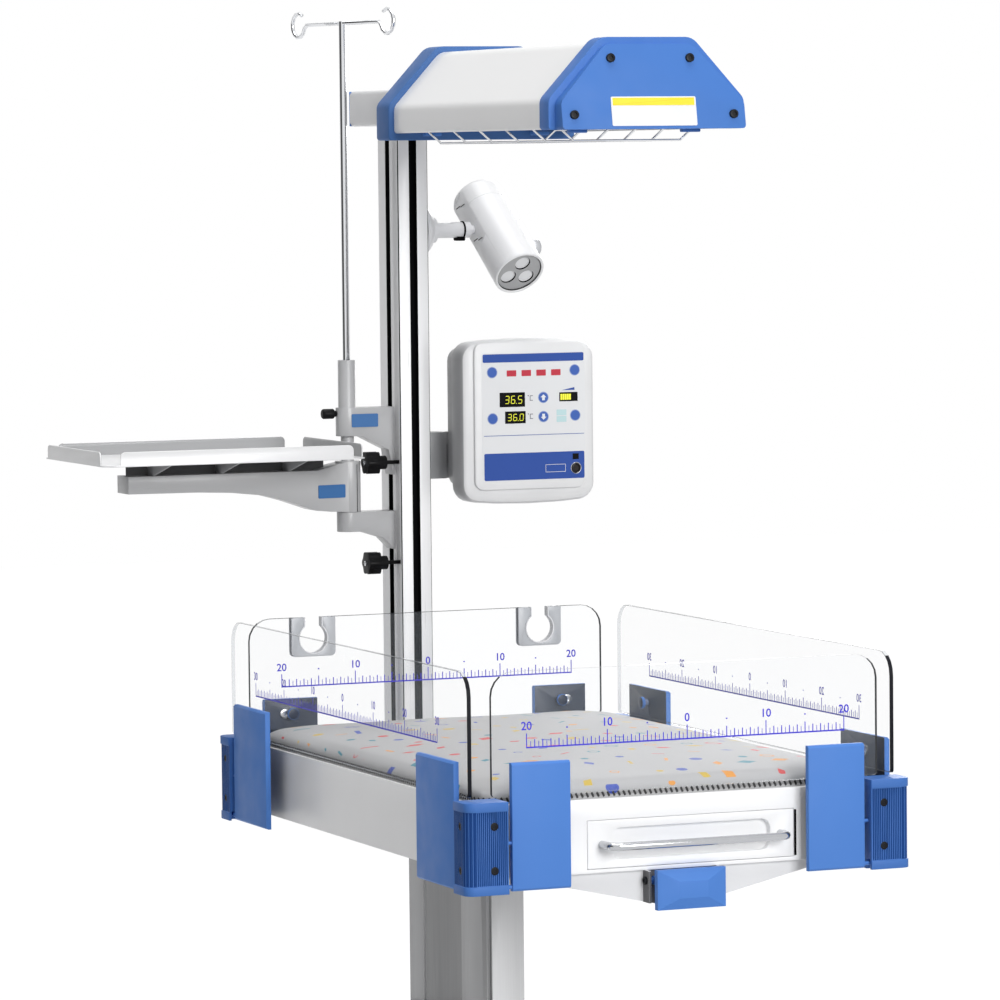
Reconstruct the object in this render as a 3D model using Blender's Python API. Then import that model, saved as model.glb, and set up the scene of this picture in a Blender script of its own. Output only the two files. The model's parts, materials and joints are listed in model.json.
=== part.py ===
"""Infant radiant warmer: a tilting bed with fold-down walls on a lifting column,
and over it a swivelling heater head, a lamp, a control box, a tray and a drip pole.
Metres, +Z up, the foot of the bed towards -Y. The origin is at floor level,
under the middle of the whole object."""

import math

import bmesh
import bpy
from mathutils import Matrix, Vector

# Driving dimensions
bed_width = 0.500
bed_length = 0.764
bed_height = 0.932
bed_frame_height = 0.085
column_width = 0.042
column_depth = 0.0675
column_gap = 0.045
column_top_rise = 0.7742
head_half_width = 0.1236
head_height = 0.106
wheel_radius = 0.050

# Clearances and overruns that all pieces share
touch_gap = 0.0003
run_gap = 0.0005
cut_over = 0.012
round_sides = 24
small_sides = 12
sharp_angle = math.radians(35)

# Places that follow from the driving dimensions
side_x = bed_width / 2
end_y = bed_length / 2
frame_top = bed_height
frame_bottom = frame_top - bed_frame_height
column_front = end_y + column_gap
column_rear = column_front + column_depth
column_side = column_width / 2
column_top = frame_top + column_top_rise
line_rise = 0.068
line = frame_top + line_rise

for old in list(bpy.data.objects):
    bpy.data.objects.remove(old)

points_of = {}
frames = {}


def spot(axis, a, b, along):
    """A point given across and along one of the three axes."""
    if axis == "X":
        return (along, a, b)
    if axis == "Y":
        return (a, along, b)
    return (a, b, along)


def piece_from(name, verts, faces):
    mesh = bpy.data.meshes.new(name)
    mesh.from_pydata(verts, [], faces)
    shape = bmesh.new()
    shape.from_mesh(mesh)
    bmesh.ops.recalc_face_normals(shape, faces=shape.faces)
    shape.to_mesh(mesh)
    shape.free()
    piece = bpy.data.objects.new(name, mesh)
    bpy.context.scene.collection.objects.link(piece)
    return piece


def prism(name, axis, outline, start, end):
    """An outline drawn across an axis, pulled along it."""
    count = len(outline)
    verts = [spot(axis, a, b, start) for a, b in outline]
    verts += [spot(axis, a, b, end) for a, b in outline]
    faces = [tuple(range(count)), tuple(range(count, 2 * count))]
    for i in range(count):
        j = (i + 1) % count
        faces.append((i, j, count + j, count + i))
    return piece_from(name, verts, faces)


def block(name, low, high):
    outline = [(low[0], low[1]), (high[0], low[1]), (high[0], high[1]), (low[0], high[1])]
    return prism(name, "Z", outline, low[2], high[2])


def turned(name, axis, centre, profile, sides=round_sides, ring=False):
    """A profile of (along, radius) points turned round an axis: capped, or closed as a ring."""
    verts = []
    for along, radius in profile:
        for k in range(sides):
            turn = 2 * math.pi * k / sides
            a = centre[0] + radius * math.cos(turn)
            b = centre[1] + radius * math.sin(turn)
            verts.append(spot(axis, a, b, along))
    rows = len(profile)
    faces = []
    for row in range(rows if ring else rows - 1):
        nxt = (row + 1) % rows
        for k in range(sides):
            m = (k + 1) % sides
            faces.append((row * sides + k, row * sides + m, nxt * sides + m, nxt * sides + k))
    if not ring:
        faces.append(tuple(range(sides)))
        faces.append(tuple(range((rows - 1) * sides, rows * sides)))
    return piece_from(name, verts, faces)


def rod(name, axis, centre, radius, start, end, sides=small_sides):
    return turned(name, axis, centre, [(start, radius), (end, radius)], sides)


def sweep(name, path, radius, sides=8):
    """A round bar bent along a list of points, its ring carried on without twist."""
    path = [Vector(point) for point in path]
    heading = (path[1] - path[0]).normalized()
    side = heading.orthogonal().normalized()
    verts = []
    for i, point in enumerate(path):
        ahead = (path[min(i + 1, len(path) - 1)] - point).normalized() if i < len(path) - 1 else heading
        behind = heading
        mean = (ahead + behind).normalized()
        side = (side - mean * side.dot(mean)).normalized()
        other = mean.cross(side)
        widen = 1 / max(math.cos(ahead.angle(behind, 0) / 2), math.cos(math.pi / 3))
        for k in range(sides):
            turn = 2 * math.pi * (k + 0.5) / sides
            verts.append(point + (side * math.cos(turn) + other * math.sin(turn)) * radius * widen)
        heading = ahead
    faces = []
    for row in range(len(path) - 1):
        for k in range(sides):
            m = (k + 1) % sides
            faces.append((row * sides + k, row * sides + m, (row + 1) * sides + m, (row + 1) * sides + k))
    faces.append(tuple(range(sides)))
    faces.append(tuple(range((len(path) - 1) * sides, len(path) * sides)))
    return piece_from(name, verts, faces)


def rounded(corners, radii, steps=4):
    """A polygon with each corner turned into an arc; one radius for all, or one for each."""
    out = []
    count = len(corners)
    for i, corner in enumerate(corners):
        radius = radii[i] if isinstance(radii, (list, tuple)) else radii
        if radius == 0:
            out.append(corner)
            continue
        here = Vector(corner)
        back = Vector(corners[i - 1]) - here
        ahead = Vector(corners[(i + 1) % count]) - here
        half = back.angle(ahead) / 2
        reach = min(radius / math.tan(half), back.length * 0.49, ahead.length * 0.49)
        radius = reach * math.tan(half)
        centre = here + (back.normalized() + ahead.normalized()).normalized() * radius / math.sin(half)
        first = here + back.normalized() * reach - centre
        last = here + ahead.normalized() * reach - centre
        whole = math.pi - 2 * half
        way = 1 if first.x * last.y - first.y * last.x > 0 else -1
        for k in range(steps + 1):
            turn = way * whole * k / steps
            x = first.x * math.cos(turn) - first.y * math.sin(turn)
            y = first.x * math.sin(turn) + first.y * math.cos(turn)
            out.append((centre.x + x, centre.y + y))
    return out


def oblong(x0, y0, x1, y1, radii=0, steps=4):
    corners = [(x0, y0), (x1, y0), (x1, y1), (x0, y1)]
    return rounded(corners, radii, steps)


def mirrored(half):
    """A closed outline from its right half, listed from one end of the centre line to the other."""
    return half + [(-a, b) for a, b in reversed(half) if a != 0]


def bake(piece):
    bpy.context.view_layer.update()
    graph = bpy.context.evaluated_depsgraph_get()
    mesh = bpy.data.meshes.new_from_object(piece.evaluated_get(graph))
    piece.modifiers.clear()
    piece.data = mesh


def combine(piece, tools, operation):
    for tool in tools:
        step = piece.modifiers.new(operation.lower(), "BOOLEAN")
        step.operation = operation
        step.solver = "EXACT"
        step.object = tool
        bake(piece)
        bpy.data.objects.remove(tool)
    return piece


def fuse(piece, *tools):
    return combine(piece, tools, "UNION")


def cut(piece, *tools):
    return combine(piece, tools, "DIFFERENCE")


def keep(piece, *tools):
    return combine(piece, tools, "INTERSECT")


def soften(piece, width, segments=2, angle=math.radians(40)):
    """Rounds every edge sharper than the angle."""
    step = piece.modifiers.new("soften", "BEVEL")
    step.width = width
    step.segments = segments
    step.limit_method = "ANGLE"
    step.angle_limit = angle
    step.use_clamp_overlap = True
    bake(piece)
    return piece


def moved(piece, matrix):
    piece.data.transform(matrix)
    return piece


def flipped(piece, name, axis="X"):
    """A mirror image of a piece as an object of its own."""
    mesh = piece.data.copy()
    scale = Vector((-1 if axis == "X" else 1, -1 if axis == "Y" else 1, 1))
    mesh.transform(Matrix.Diagonal(scale.to_4d()))
    mesh.flip_normals()
    copy = bpy.data.objects.new(name, mesh)
    bpy.context.scene.collection.objects.link(copy)
    return copy


def finish(piece, material, body):
    """Gives a piece its finish, smooth shading and the body that it moves with."""
    piece.data.materials.clear()
    piece.data.materials.append(material)
    piece.data.shade_smooth()
    piece.data.set_sharp_from_angle(angle=sharp_angle)
    piece.parent = frames[body]
    piece.data.transform(Matrix.Translation(-points_of[body]))
    return piece


def body_frame(name, point, parent):
    """An empty on a joint's axis, which carries all that moves with that joint."""
    empty = bpy.data.objects.new(name + "_joint", None)
    bpy.context.scene.collection.objects.link(empty)
    points_of[name] = Vector(point)
    frames[name] = empty
    if parent:
        empty.parent = frames[parent]
        empty.location = points_of[name] - points_of[parent]
    return empty


def material(name, colour, roughness, metallic=0.0, alpha=1.0):
    made = bpy.data.materials.new(name)
    made.use_nodes = True
    shader = made.node_tree.nodes["Principled BSDF"]
    shader.inputs["Base Color"].default_value = (*colour, 1.0)
    shader.inputs["Roughness"].default_value = roughness
    shader.inputs["Metallic"].default_value = metallic
    shader.inputs["Alpha"].default_value = alpha
    made.diffuse_color = (*colour, alpha)
    return made


white_paint = material("white_paint", (0.78, 0.78, 0.79), 0.40)
grey_paint = material("grey_paint", (0.42, 0.44, 0.46), 0.45)
blue_plastic = material("blue_plastic", (0.10, 0.26, 0.68), 0.42)
white_plastic = material("white_plastic", (0.74, 0.76, 0.78), 0.38)
column_metal = material("column_metal", (0.66, 0.66, 0.67), 0.38, 0.6)
chrome = material("chrome", (0.78, 0.78, 0.80), 0.12, 1.0)
black_plastic = material("black_plastic", (0.03, 0.03, 0.03), 0.45)
tyre_rubber = material("tyre_rubber", (0.16, 0.16, 0.17), 0.70)
clear_panel = material("clear_panel", (0.90, 0.94, 0.98), 0.06, 0.0, 0.25)
mattress_cloth = material("mattress_cloth", (0.70, 0.70, 0.71), 0.75)
bright_reflector = material("bright_reflector", (0.80, 0.80, 0.80), 0.18, 1.0)
heater_tube = material("heater_tube", (0.50, 0.22, 0.12), 0.30)

# Base: two rails on castors with a cross box between them under the column
body_frame("base", (0, 0, 0), None)
crown_clear = 0.0035
crown_thick = 0.005
swivel_head_thick = 0.006
rail_bottom = 2 * wheel_radius + crown_clear + crown_thick + swivel_head_thick + touch_gap
rail_height = 0.036
rail_top = rail_bottom + rail_height
rail_outset = 0.012
rail_x = side_x + rail_outset
rail_width = 0.052
rail_front_set_back = 0.005
rail_front = -end_y + rail_front_set_back
rail_rear_set_back = 0.020
rail_rear = column_rear - rail_rear_set_back
castor_inset = 0.040
castor_stem_radius = 0.0075
castor_stem_length = 0.026
castor_places = {
    "front_left": (-rail_x, rail_front + castor_inset),
    "front_right": (rail_x, rail_front + castor_inset),
    "rear_left": (-rail_x, rail_rear - castor_inset),
    "rear_right": (rail_x, rail_rear - castor_inset),
}
lift_front = 0.138
lift_rear = 0.4135
lift_half_width = 0.0215
sleeve_clear = 0.0004
sleeve_wall = 0.006
sleeve_top = 0.580
sleeve_floor = 0.008
cross_margin = 0.020
foot_plate_margin = 0.012
foot_plate_thick = 0.006


def make_base_frame():
    half = rail_width / 2
    frame = block("base_frame", (-rail_x, lift_front - cross_margin, rail_bottom),
                  (rail_x, lift_rear + cross_margin, rail_top))
    for side in (-1, 1):
        outline = oblong(side * rail_x - half, rail_front, side * rail_x + half, rail_rear, half * 0.9)
        fuse(frame, prism("rail", "Z", outline, rail_bottom, rail_top))
    for x, y in castor_places.values():
        hole = rod("stem_hole", "Z", (x, y), castor_stem_radius + touch_gap,
                   rail_bottom - cut_over, rail_bottom + castor_stem_length + touch_gap)
        cut(frame, hole)
    finish(frame, white_paint, "base")


def make_base_column():
    inner_x = lift_half_width + sleeve_clear
    inner_y0 = lift_front - sleeve_clear
    inner_y1 = lift_rear + sleeve_clear
    bottom = rail_top + touch_gap
    outline = oblong(-inner_x - sleeve_wall, inner_y0 - sleeve_wall,
                     inner_x + sleeve_wall, inner_y1 + sleeve_wall, sleeve_wall)
    column = prism("base_column", "Z", outline, bottom, sleeve_top)
    spread = sleeve_wall + foot_plate_margin
    foot = block("foot", (-inner_x - spread, inner_y0 - spread, bottom),
                 (inner_x + spread, inner_y1 + spread, bottom + foot_plate_thick))
    fuse(column, foot)
    cut(column, block("bore", (-inner_x, inner_y0, bottom + sleeve_floor),
                      (inner_x, inner_y1, sleeve_top + cut_over)))
    finish(column, white_paint, "base")


# Castors: a fork that swivels in the rail, a wheel on its axle, and brake pedals at the front
trail = 0.030
fork_inner_half = 0.0175
fork_cheek = 0.003
fork_head_radius = 0.026
wheel_half_width = 0.0155
wheel_sides = 16
tyre_edge = 0.004
hub_half_width = 0.0165
axle_radius = 0.005
cheek_radius = 0.012
brake_pin_back = 0.062
brake_pin_rise = 0.034
brake_pin_radius = 0.003
brake_tail = 0.030
brake_thick = 0.005


def make_castor(place, x, y):
    body_frame("castor_" + place, (x, y, 0), "base")
    wheel_y = y + trail
    body_frame("wheel_" + place, (x, wheel_y, wheel_radius), "castor_" + place)
    crown_bottom = 2 * wheel_radius + crown_clear
    crown_top = crown_bottom + crown_thick
    head_top = crown_top + swivel_head_thick
    outer = fork_inner_half + fork_cheek
    braked = place.startswith("front")
    pin_y = wheel_y + brake_pin_back
    pin_z = wheel_radius + brake_pin_rise
    tail_y = pin_y + cheek_radius * 0.6 if braked else wheel_y + cheek_radius * 2.4
    low = wheel_radius - cheek_radius
    outline = [(y - fork_head_radius, crown_top), (y - fork_head_radius, crown_bottom),
               (wheel_y - cheek_radius, low), (wheel_y + cheek_radius, low)]
    if braked:
        outline += [(tail_y, pin_z - cheek_radius * 0.6), (tail_y, pin_z + cheek_radius * 0.6)]
    outline.append((wheel_y + cheek_radius * 2.4, crown_top))
    outline = rounded(outline, cheek_radius * 0.5, 3)
    fork = prism("castor_fork_" + place, "X", outline, x - outer, x + outer)
    cut(fork, block("slot", (x - fork_inner_half, y - fork_head_radius - cut_over, low - cut_over),
                    (x + fork_inner_half, tail_y + cheek_radius * 4, crown_bottom)))
    fuse(fork, rod("head", "Z", (x, y), fork_head_radius, crown_bottom + crown_thick / 2, head_top,
                   round_sides))
    fuse(fork, rod("stem", "Z", (x, y), castor_stem_radius, crown_top, rail_bottom + castor_stem_length))
    fuse(fork, rod("axle", "X", (wheel_y, wheel_radius), axle_radius, x - outer - fork_cheek,
                   x + outer + fork_cheek))
    if braked:
        fuse(fork, rod("pin", "X", (pin_y, pin_z), brake_pin_radius, x - outer - tyre_edge / 4,
                       x + outer + tyre_edge / 4))
    finish(fork, grey_paint, "castor_" + place)

    bore = axle_radius + touch_gap
    web = wheel_half_width * 0.45
    rim = wheel_radius * 0.72
    profile = [(-hub_half_width, bore), (-hub_half_width, bore + axle_radius), (-web,
        bore + axle_radius * 1.6),
               (-web, rim - tyre_edge), (-wheel_half_width, rim), (-wheel_half_width + tyre_edge,
                   wheel_radius)]
    profile += [(-along, radius) for along, radius in reversed(profile)]
    profile = [(x + along, radius) for along, radius in profile]
    wheel = turned("castor_wheel_" + place, "X", (wheel_y, wheel_radius), profile, wheel_sides, ring=True)
    finish(wheel, tyre_rubber, "wheel_" + place)
    if braked:
        make_brake(place, x, pin_y, pin_z)


def make_brake(place, x, pin_y, pin_z):
    body_frame("brake_" + place, (x, pin_y, pin_z), "castor_" + place)
    half = fork_inner_half - touch_gap
    boss = brake_pin_radius + touch_gap + brake_thick / 2
    pedal = rod("castor_brake_" + place, "X", (pin_y, pin_z), boss, x - half, x + half)
    plate = prism("plate", "X", [(pin_y, pin_z + boss), (pin_y, pin_z), (pin_y + brake_tail,
        pin_z - boss * 1.2),
                                 (pin_y + brake_tail, pin_z - boss * 1.2 + brake_thick)], x - half,
                                 x + half)
    fuse(pedal, plate)
    cut(pedal, rod("bore", "X", (pin_y, pin_z), brake_pin_radius + touch_gap, x - half - cut_over,
                   x + half + cut_over))
    finish(pedal, blue_plastic, "brake_" + place)


# Lifting column with the yoke plate welded on its top: it carries the bed and the upper column
pivot_y = 0.265
pivot_rise = 0.023
pivot_z = frame_bottom + pivot_rise
yoke_drop = 0.015
yoke_top = frame_bottom - yoke_drop
yoke_thick = 0.016
yoke_bottom = yoke_top - yoke_thick
yoke_half_width = 0.060
yoke_front_inset = 0.037
yoke_front = lift_front + yoke_front_inset
yoke_rear_reach = 0.012
yoke_rear = column_rear + yoke_rear_reach
yoke_ear_inner = 0.044
yoke_ear_outer = 0.054
yoke_ear_radius = 0.020
pivot_radius = 0.010
pivot_half_length = 0.074
socket_height = 0.030
socket_wall = 0.010
lift_overlap = 0.280
body_frame("lift", (0, pivot_y, yoke_bottom), "base")


def make_lift_column():
    """The groove pattern of its side: a front plate, a body, two recesses and a rear strip."""
    full = lift_half_width
    neck = full * 0.80
    deep = full * 0.62
    depth = lift_rear - lift_front
    side_shares = [(0.0, full), (0.010, full), (0.010, neck), (0.064, neck), (0.064, full), (0.362, full),
                   (0.362, deep), (0.465, deep), (0.560, full * 0.70), (0.680, full * 0.84), (0.802, full),
                   (0.802, neck), (0.828, neck), (0.828, full), (1.0, full)]
    half = [(x, lift_front + share * depth) for share, x in side_shares]
    low = sleeve_top - lift_overlap
    column = prism("lift_column", "Z", mirrored(half), low, yoke_bottom + yoke_thick / 2)
    plate = oblong(-yoke_half_width, yoke_front, yoke_half_width, yoke_rear, yoke_thick / 2)
    fuse(column, prism("plate", "Z", plate, yoke_bottom, yoke_top))
    for side in (-1, 1):
        ear = [(pivot_y - yoke_ear_radius, yoke_top - yoke_thick / 2), (pivot_y + yoke_ear_radius,
            yoke_top - yoke_thick / 2)]
        ear += [(pivot_y + yoke_ear_radius * math.cos(t * math.pi / 8),
                 pivot_z + yoke_ear_radius * math.sin(t * math.pi / 8))
                for t in range(9)]
        inner, outer = sorted((side * yoke_ear_inner, side * yoke_ear_outer))
        fuse(column, prism("ear", "X", ear, inner, outer))
    fuse(column, rod("pivot_shaft", "X", (pivot_y, pivot_z), pivot_radius, -pivot_half_length,
                     pivot_half_length, round_sides))
    wall = socket_wall
    socket = block("socket", (-column_side - wall, column_front - wall, yoke_top - yoke_thick / 2),
                   (column_side + wall, column_rear + wall, yoke_top + socket_height))
    fuse(column, socket)
    cut(column, block("pocket", (-column_side - touch_gap, column_front - touch_gap, yoke_top),
                      (column_side + touch_gap, column_rear + touch_gap,
                       yoke_top + socket_height + cut_over)))
    finish(column, column_metal, "lift")


def make_base():
    make_base_frame()
    make_base_column()
    for place, (x, y) in castor_places.items():
        make_castor(place, x, y)
    make_lift_column()


make_base()

# Bed frame: a box open below, with a recessed deck, a drawer mouth and two ears on the pivot shaft
frame_wall = 0.012
deck_recess = 0.006
deck_thick = 0.008
mattress_margin_x = 0.005
mattress_margin_y = 0.010
deck_floor = frame_top - deck_recess
deck_under = deck_floor - deck_thick
drawer_left = -0.1185
drawer_right = 0.143
drawer_top_drop = 0.0245
drawer_top = frame_top - drawer_top_drop
drawer_bottom_rise = 0.005
drawer_bottom = frame_bottom + drawer_bottom_rise
drawer_depth = 0.560
drawer_tub_inset = 0.0105
drawer_wall = 0.0025
drawer_front_thick = 0.016
runner_web = 0.003
runner_lip = 0.015
bed_ear_gap = 0.0035
bed_ear_inner = yoke_ear_outer + bed_ear_gap
bed_ear_thick = 0.011
bed_ear_outer = bed_ear_inner + bed_ear_thick
bed_ear_radius = 0.018
bed_ear_spread = 0.034
body_frame("bed", (0, pivot_y, pivot_z), "lift")


def make_bed_frame():
    frame = block("bed_frame", (-side_x, -end_y, frame_bottom), (side_x, end_y, frame_top))
    inner_x = side_x - frame_wall
    inner_y = end_y - frame_wall
    cut(frame, block("cavity", (-inner_x, -inner_y, frame_bottom - cut_over), (inner_x, inner_y,
        deck_under)))
    rest_x = side_x - mattress_margin_x + run_gap
    rest_y = end_y - mattress_margin_y + run_gap
    cut(frame, block("recess", (-rest_x, -rest_y, deck_floor), (rest_x, rest_y, frame_top + cut_over)))
    mouth = block("mouth", (drawer_left - run_gap, -end_y - cut_over, drawer_bottom - run_gap),
                  (drawer_right + run_gap, -inner_y + cut_over, drawer_top + run_gap))
    cut(frame, mouth)
    lip_top = drawer_bottom - touch_gap
    front = -end_y + drawer_front_thick + run_gap
    rear = -end_y + drawer_depth
    top = deck_under + deck_thick / 2
    for side, edge in ((1, drawer_left), (-1, drawer_right)):
        web = edge + side * (drawer_tub_inset - touch_gap)
        x0, x1 = sorted((web, web - side * runner_web))
        fuse(frame, block("web", (x0, front, lip_top - runner_web), (x1, rear, top)))
        x0, x1 = sorted((web - side * runner_web, web + side * runner_lip))
        fuse(frame, block("lip", (x0, front, lip_top - runner_web), (x1, rear, lip_top)))
    for side in (-1, 1):
        arc = [(pivot_y + bed_ear_radius * math.cos(t * math.pi / 8),
                pivot_z - bed_ear_radius * math.sin(t * math.pi / 8)) for t in range(9)]
        ear = arc + [(pivot_y - bed_ear_spread, top), (pivot_y + bed_ear_spread, top)]
        x0, x1 = sorted((side * bed_ear_inner, side * bed_ear_outer))
        fuse(frame, prism("ear", "X", ear, x0, x1))
    reach = bed_ear_outer + cut_over
    cut(frame, rod("bore", "X", (pivot_y, pivot_z), pivot_radius + touch_gap, -reach, reach, round_sides))
    finish(frame, white_paint, "bed")


# Mattress: a foam cushion with a crowned top and sides that draw in a little between the corners
mattress_edge = 0.019
mattress_crown = 0.034
mattress_corner = 0.026
mattress_draw = 0.0015
mattress_soft = 0.010
side_steps = 8


def cushion_ring(inset, height, draw):
    half_x = side_x - mattress_margin_x - inset
    half_y = end_y - mattress_margin_y - inset
    corner = mattress_corner
    ring = []
    quarter = [(1, -1), (1, 1), (-1, 1), (-1, -1)]
    for i, (sx, sy) in enumerate(quarter):
        centre = (sx * (half_x - corner), sy * (half_y - corner))
        first = -math.pi / 2 + i * math.pi / 2
        for k in range(4):
            turn = first + k * math.pi / 6
            ring.append((centre[0] + corner * math.cos(turn), centre[1] + corner * math.sin(turn), height))
        nx, ny = quarter[(i + 1) % 4]
        after = (nx * (half_x - corner), ny * (half_y - corner))
        out = first + math.pi / 2
        for k in range(1, side_steps):
            share = k / side_steps
            pull = draw * math.sin(math.pi * share)
            x = centre[0] + (after[0] - centre[0]) * share + (corner - pull) * math.cos(out)
            y = centre[1] + (after[1] - centre[1]) * share + (corner - pull) * math.sin(out)
            ring.append((x, y, height))
    return ring


def make_mattress():
    floor = deck_floor + touch_gap
    crown_rise = mattress_crown - mattress_edge
    levels = [(mattress_soft * 0.4, 0.0, 0.5), (mattress_soft * 0.1, mattress_edge * 0.15, 1.0),
              (mattress_soft * 0.18, mattress_edge * 0.32, 1.0), (0.0, mattress_edge * 0.60, 1.0),
              (mattress_soft * 0.12, mattress_edge * 0.85, 1.0), (mattress_soft * 0.5,
                  mattress_edge * 1.05, 0.8),
              (mattress_soft * 1.4, mattress_edge + crown_rise * 0.22, 0.4)]
    half = side_x - mattress_margin_x
    crown_shares = [(0.14, 0.42), (0.26, 0.62), (0.42, 0.80), (0.62, 0.94), (0.82, 0.99)]
    levels += [(half * inset, mattress_edge + crown_rise * rise, 0.0) for inset, rise in crown_shares]
    verts = []
    for inset, rise, draw in levels:
        verts += cushion_ring(inset, floor + rise, mattress_draw * draw)
    count = len(verts) // len(levels)
    faces = [tuple(range(count)), tuple(range(len(verts) - count, len(verts)))]
    for row in range(len(levels) - 1):
        for k in range(count):
            m = (k + 1) % count
            faces.append((row * count + k, row * count + m, (row + 1) * count + m, (row + 1) * count + k))
    finish(piece_from("mattress", verts, faces), mattress_cloth, "bed")


# Drawer on two runners under the deck, with a bar handle over a scooped front
scoop_half_width = 0.100
scoop_half_height = 0.018
scoop_depth = 0.008
handle_radius = 0.00475
handle_half_length = 0.1175
handle_reach = 0.028
handle_bend = 0.014
body_frame("drawer", (0, -end_y, drawer_bottom), "bed")


def make_drawer():
    mid_x = (drawer_left + drawer_right) / 2
    mid_z = (drawer_top + drawer_bottom) / 2
    front = -end_y + drawer_front_thick
    drawer = block("drawer", (drawer_left, -end_y, drawer_bottom), (drawer_right, front, drawer_top))
    x0 = drawer_left + drawer_tub_inset
    x1 = drawer_right - drawer_tub_inset
    rear = -end_y + drawer_depth
    rim = drawer_top - drawer_wall
    fuse(drawer, block("tub", (x0, front - drawer_wall, drawer_bottom), (x1, rear, rim)))
    wall = drawer_wall
    cut(drawer, block("well", (x0 + wall, front + wall, drawer_bottom + wall), (x1 - wall, rear - wall,
        rim + cut_over)))
    outline = oblong(mid_x - scoop_half_width, mid_z - scoop_half_height,
                     mid_x + scoop_half_width, mid_z + scoop_half_height, scoop_half_height * 0.6)
    cut(drawer, prism("scoop", "Y", outline, -end_y - cut_over, -end_y + scoop_depth))
    finish(drawer, white_paint, "drawer")

    y0 = -end_y - touch_gap
    y1 = -end_y - handle_reach
    left = mid_x - handle_half_length + handle_radius
    right = mid_x + handle_half_length - handle_radius
    bend = handle_bend
    corners = [(left, y0), (left, y1), (right, y1), (right, y0)]
    bent = rounded(corners, [0, bend, bend, 0], 5)
    path = [(x, y, mid_z) for x, y in bent]
    finish(sweep("drawer_handle", path, handle_radius, 10), chrome, "drawer")


# Under pan: a V-shaped sheet cover below the drawer, with the bracket of the tilt handle at its front
pan_half_width = 0.195
pan_depth = 0.047
pan_sheet = 0.003
pan_front_inset = 0.007
pan_front = -end_y + pan_front_inset
pan_rear_gap = 0.018
pan_rear = lift_front - pan_rear_gap
handle_half_width = 0.043
bracket_sheet = 0.003
bracket_depth = 0.037
bracket_reach = 0.010
bracket_front = -end_y - bracket_reach
tilt_pin_radius = 0.003
tilt_pin_reach = 0.001
tilt_pin_y = -end_y - tilt_pin_reach
tilt_pin_drop = 0.012
tilt_front_reach = 0.033
tilt_front = -end_y - tilt_front_reach
tilt_back_reach = 0.018
tilt_back = -end_y - tilt_back_reach
tilt_top_rise = 0.002
tilt_top = frame_bottom + tilt_top_rise
tilt_height = 0.046
tilt_chamfer = 0.007
tilt_arm_half = 0.005


def make_under_pan():
    top = frame_bottom - touch_gap
    sheet = pan_sheet

    def vee(inset, lift):
        return [(-pan_half_width + inset * 3, top + lift), (pan_half_width - inset * 3, top + lift),
                (pan_half_width - inset * 3, top - inset), (0, top - pan_depth + inset),
                (-pan_half_width + inset * 3, top - inset)]

    outer = [(-pan_half_width, top), (pan_half_width, top), (pan_half_width, top - sheet),
             (0, top - pan_depth), (-pan_half_width, top - sheet)]
    pan = prism("under_pan", "Y", outer, pan_front, pan_rear)
    cut(pan, prism("hollow", "Y", vee(sheet, cut_over), pan_front + sheet, pan_rear - sheet))
    inner = handle_half_width + run_gap
    pin_z = frame_bottom - tilt_pin_drop
    for side in (-1, 1):
        x0, x1 = sorted((side * inner, side * (inner + bracket_sheet)))
        fuse(pan, block("cheek", (x0, bracket_front, top - bracket_depth), (x1, pan_front + sheet / 2,
            top)))
    reach = inner + bracket_sheet + cut_over
    cut(pan, rod("pin_hole", "X", (tilt_pin_y, pin_z), tilt_pin_radius + touch_gap, -reach, reach, 12))
    finish(pan, white_paint, "bed")


def make_tilt_handle():
    pin_z = frame_bottom - tilt_pin_drop
    body_frame("tilt_handle", (0, tilt_pin_y, pin_z), "bed")
    low = tilt_top - tilt_height
    slope = tilt_chamfer
    rings = [(tilt_front, handle_half_width - slope * 2, slope), (tilt_front + slope, handle_half_width, 0),
             (tilt_back, handle_half_width, 0)]
    verts = []
    for y, half_x, inset in rings:
        verts += [(-half_x, y, low + inset), (half_x, y, low + inset), (half_x, y, tilt_top - inset),
                  (-half_x, y, tilt_top - inset)]
    faces = [(0, 1, 2, 3), (8, 9, 10, 11)]
    for row in (0, 4):
        faces += [(row + k, row + (k + 1) % 4, row + 4 + (k + 1) % 4, row + 4 + k) for k in range(4)]
    grip = piece_from("tilt_handle", verts, faces)
    half = tilt_arm_half
    arm = [(tilt_back - half, pin_z - half), (tilt_pin_y + half, pin_z - half),
           (tilt_pin_y + half, pin_z + half), (tilt_back - half, pin_z + half)]
    inner = handle_half_width - half
    fuse(grip, prism("arm", "X", rounded(arm, [0, half, half, 0], 3), -inner, inner))
    reach = handle_half_width + run_gap + bracket_sheet
    fuse(grip, rod("pin", "X", (tilt_pin_y, pin_z), tilt_pin_radius, -reach, reach, 12))
    finish(grip, blue_plastic, "tilt_handle")


# Corner blocks, clear walls and the clamp plates that hold the walls and fold down with them
wall_thick = 0.005
wall_low_rise = 0.011
wall_low = frame_top + wall_low_rise
wall_high_rise = 0.153
wall_high = frame_top + wall_high_rise
wall_corner = 0.028
wall_foot = 0.004
side_wall_reach = 0.014
side_wall_x = side_x + side_wall_reach
end_wall_reach = 0.0115
end_wall_y = end_y + end_wall_reach
side_wall_extra = 0.008
side_wall_half = end_y + side_wall_extra
end_wall_short = 0.007
end_wall_half = side_x - end_wall_short
block_low_drop = 0.013
block_low = frame_bottom - block_low_drop
block_high_rise = 0.007
block_high = frame_top + block_high_rise
block_inset_x = 0.0215
block_inner_x = side_x - block_inset_x
block_inset_y = 0.0095
block_inner_y = end_y - block_inset_y
block_reach_x = 0.0305
block_outer_x = side_x + block_reach_x
block_reach_y = 0.0305
block_outer_y = end_y + block_reach_y
block_corner = 0.012
block_rim = 0.010
block_sink = 0.001
block_screw_radius = 0.005
block_screw_sink = 0.003
block_screw_inset = 0.017
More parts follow.
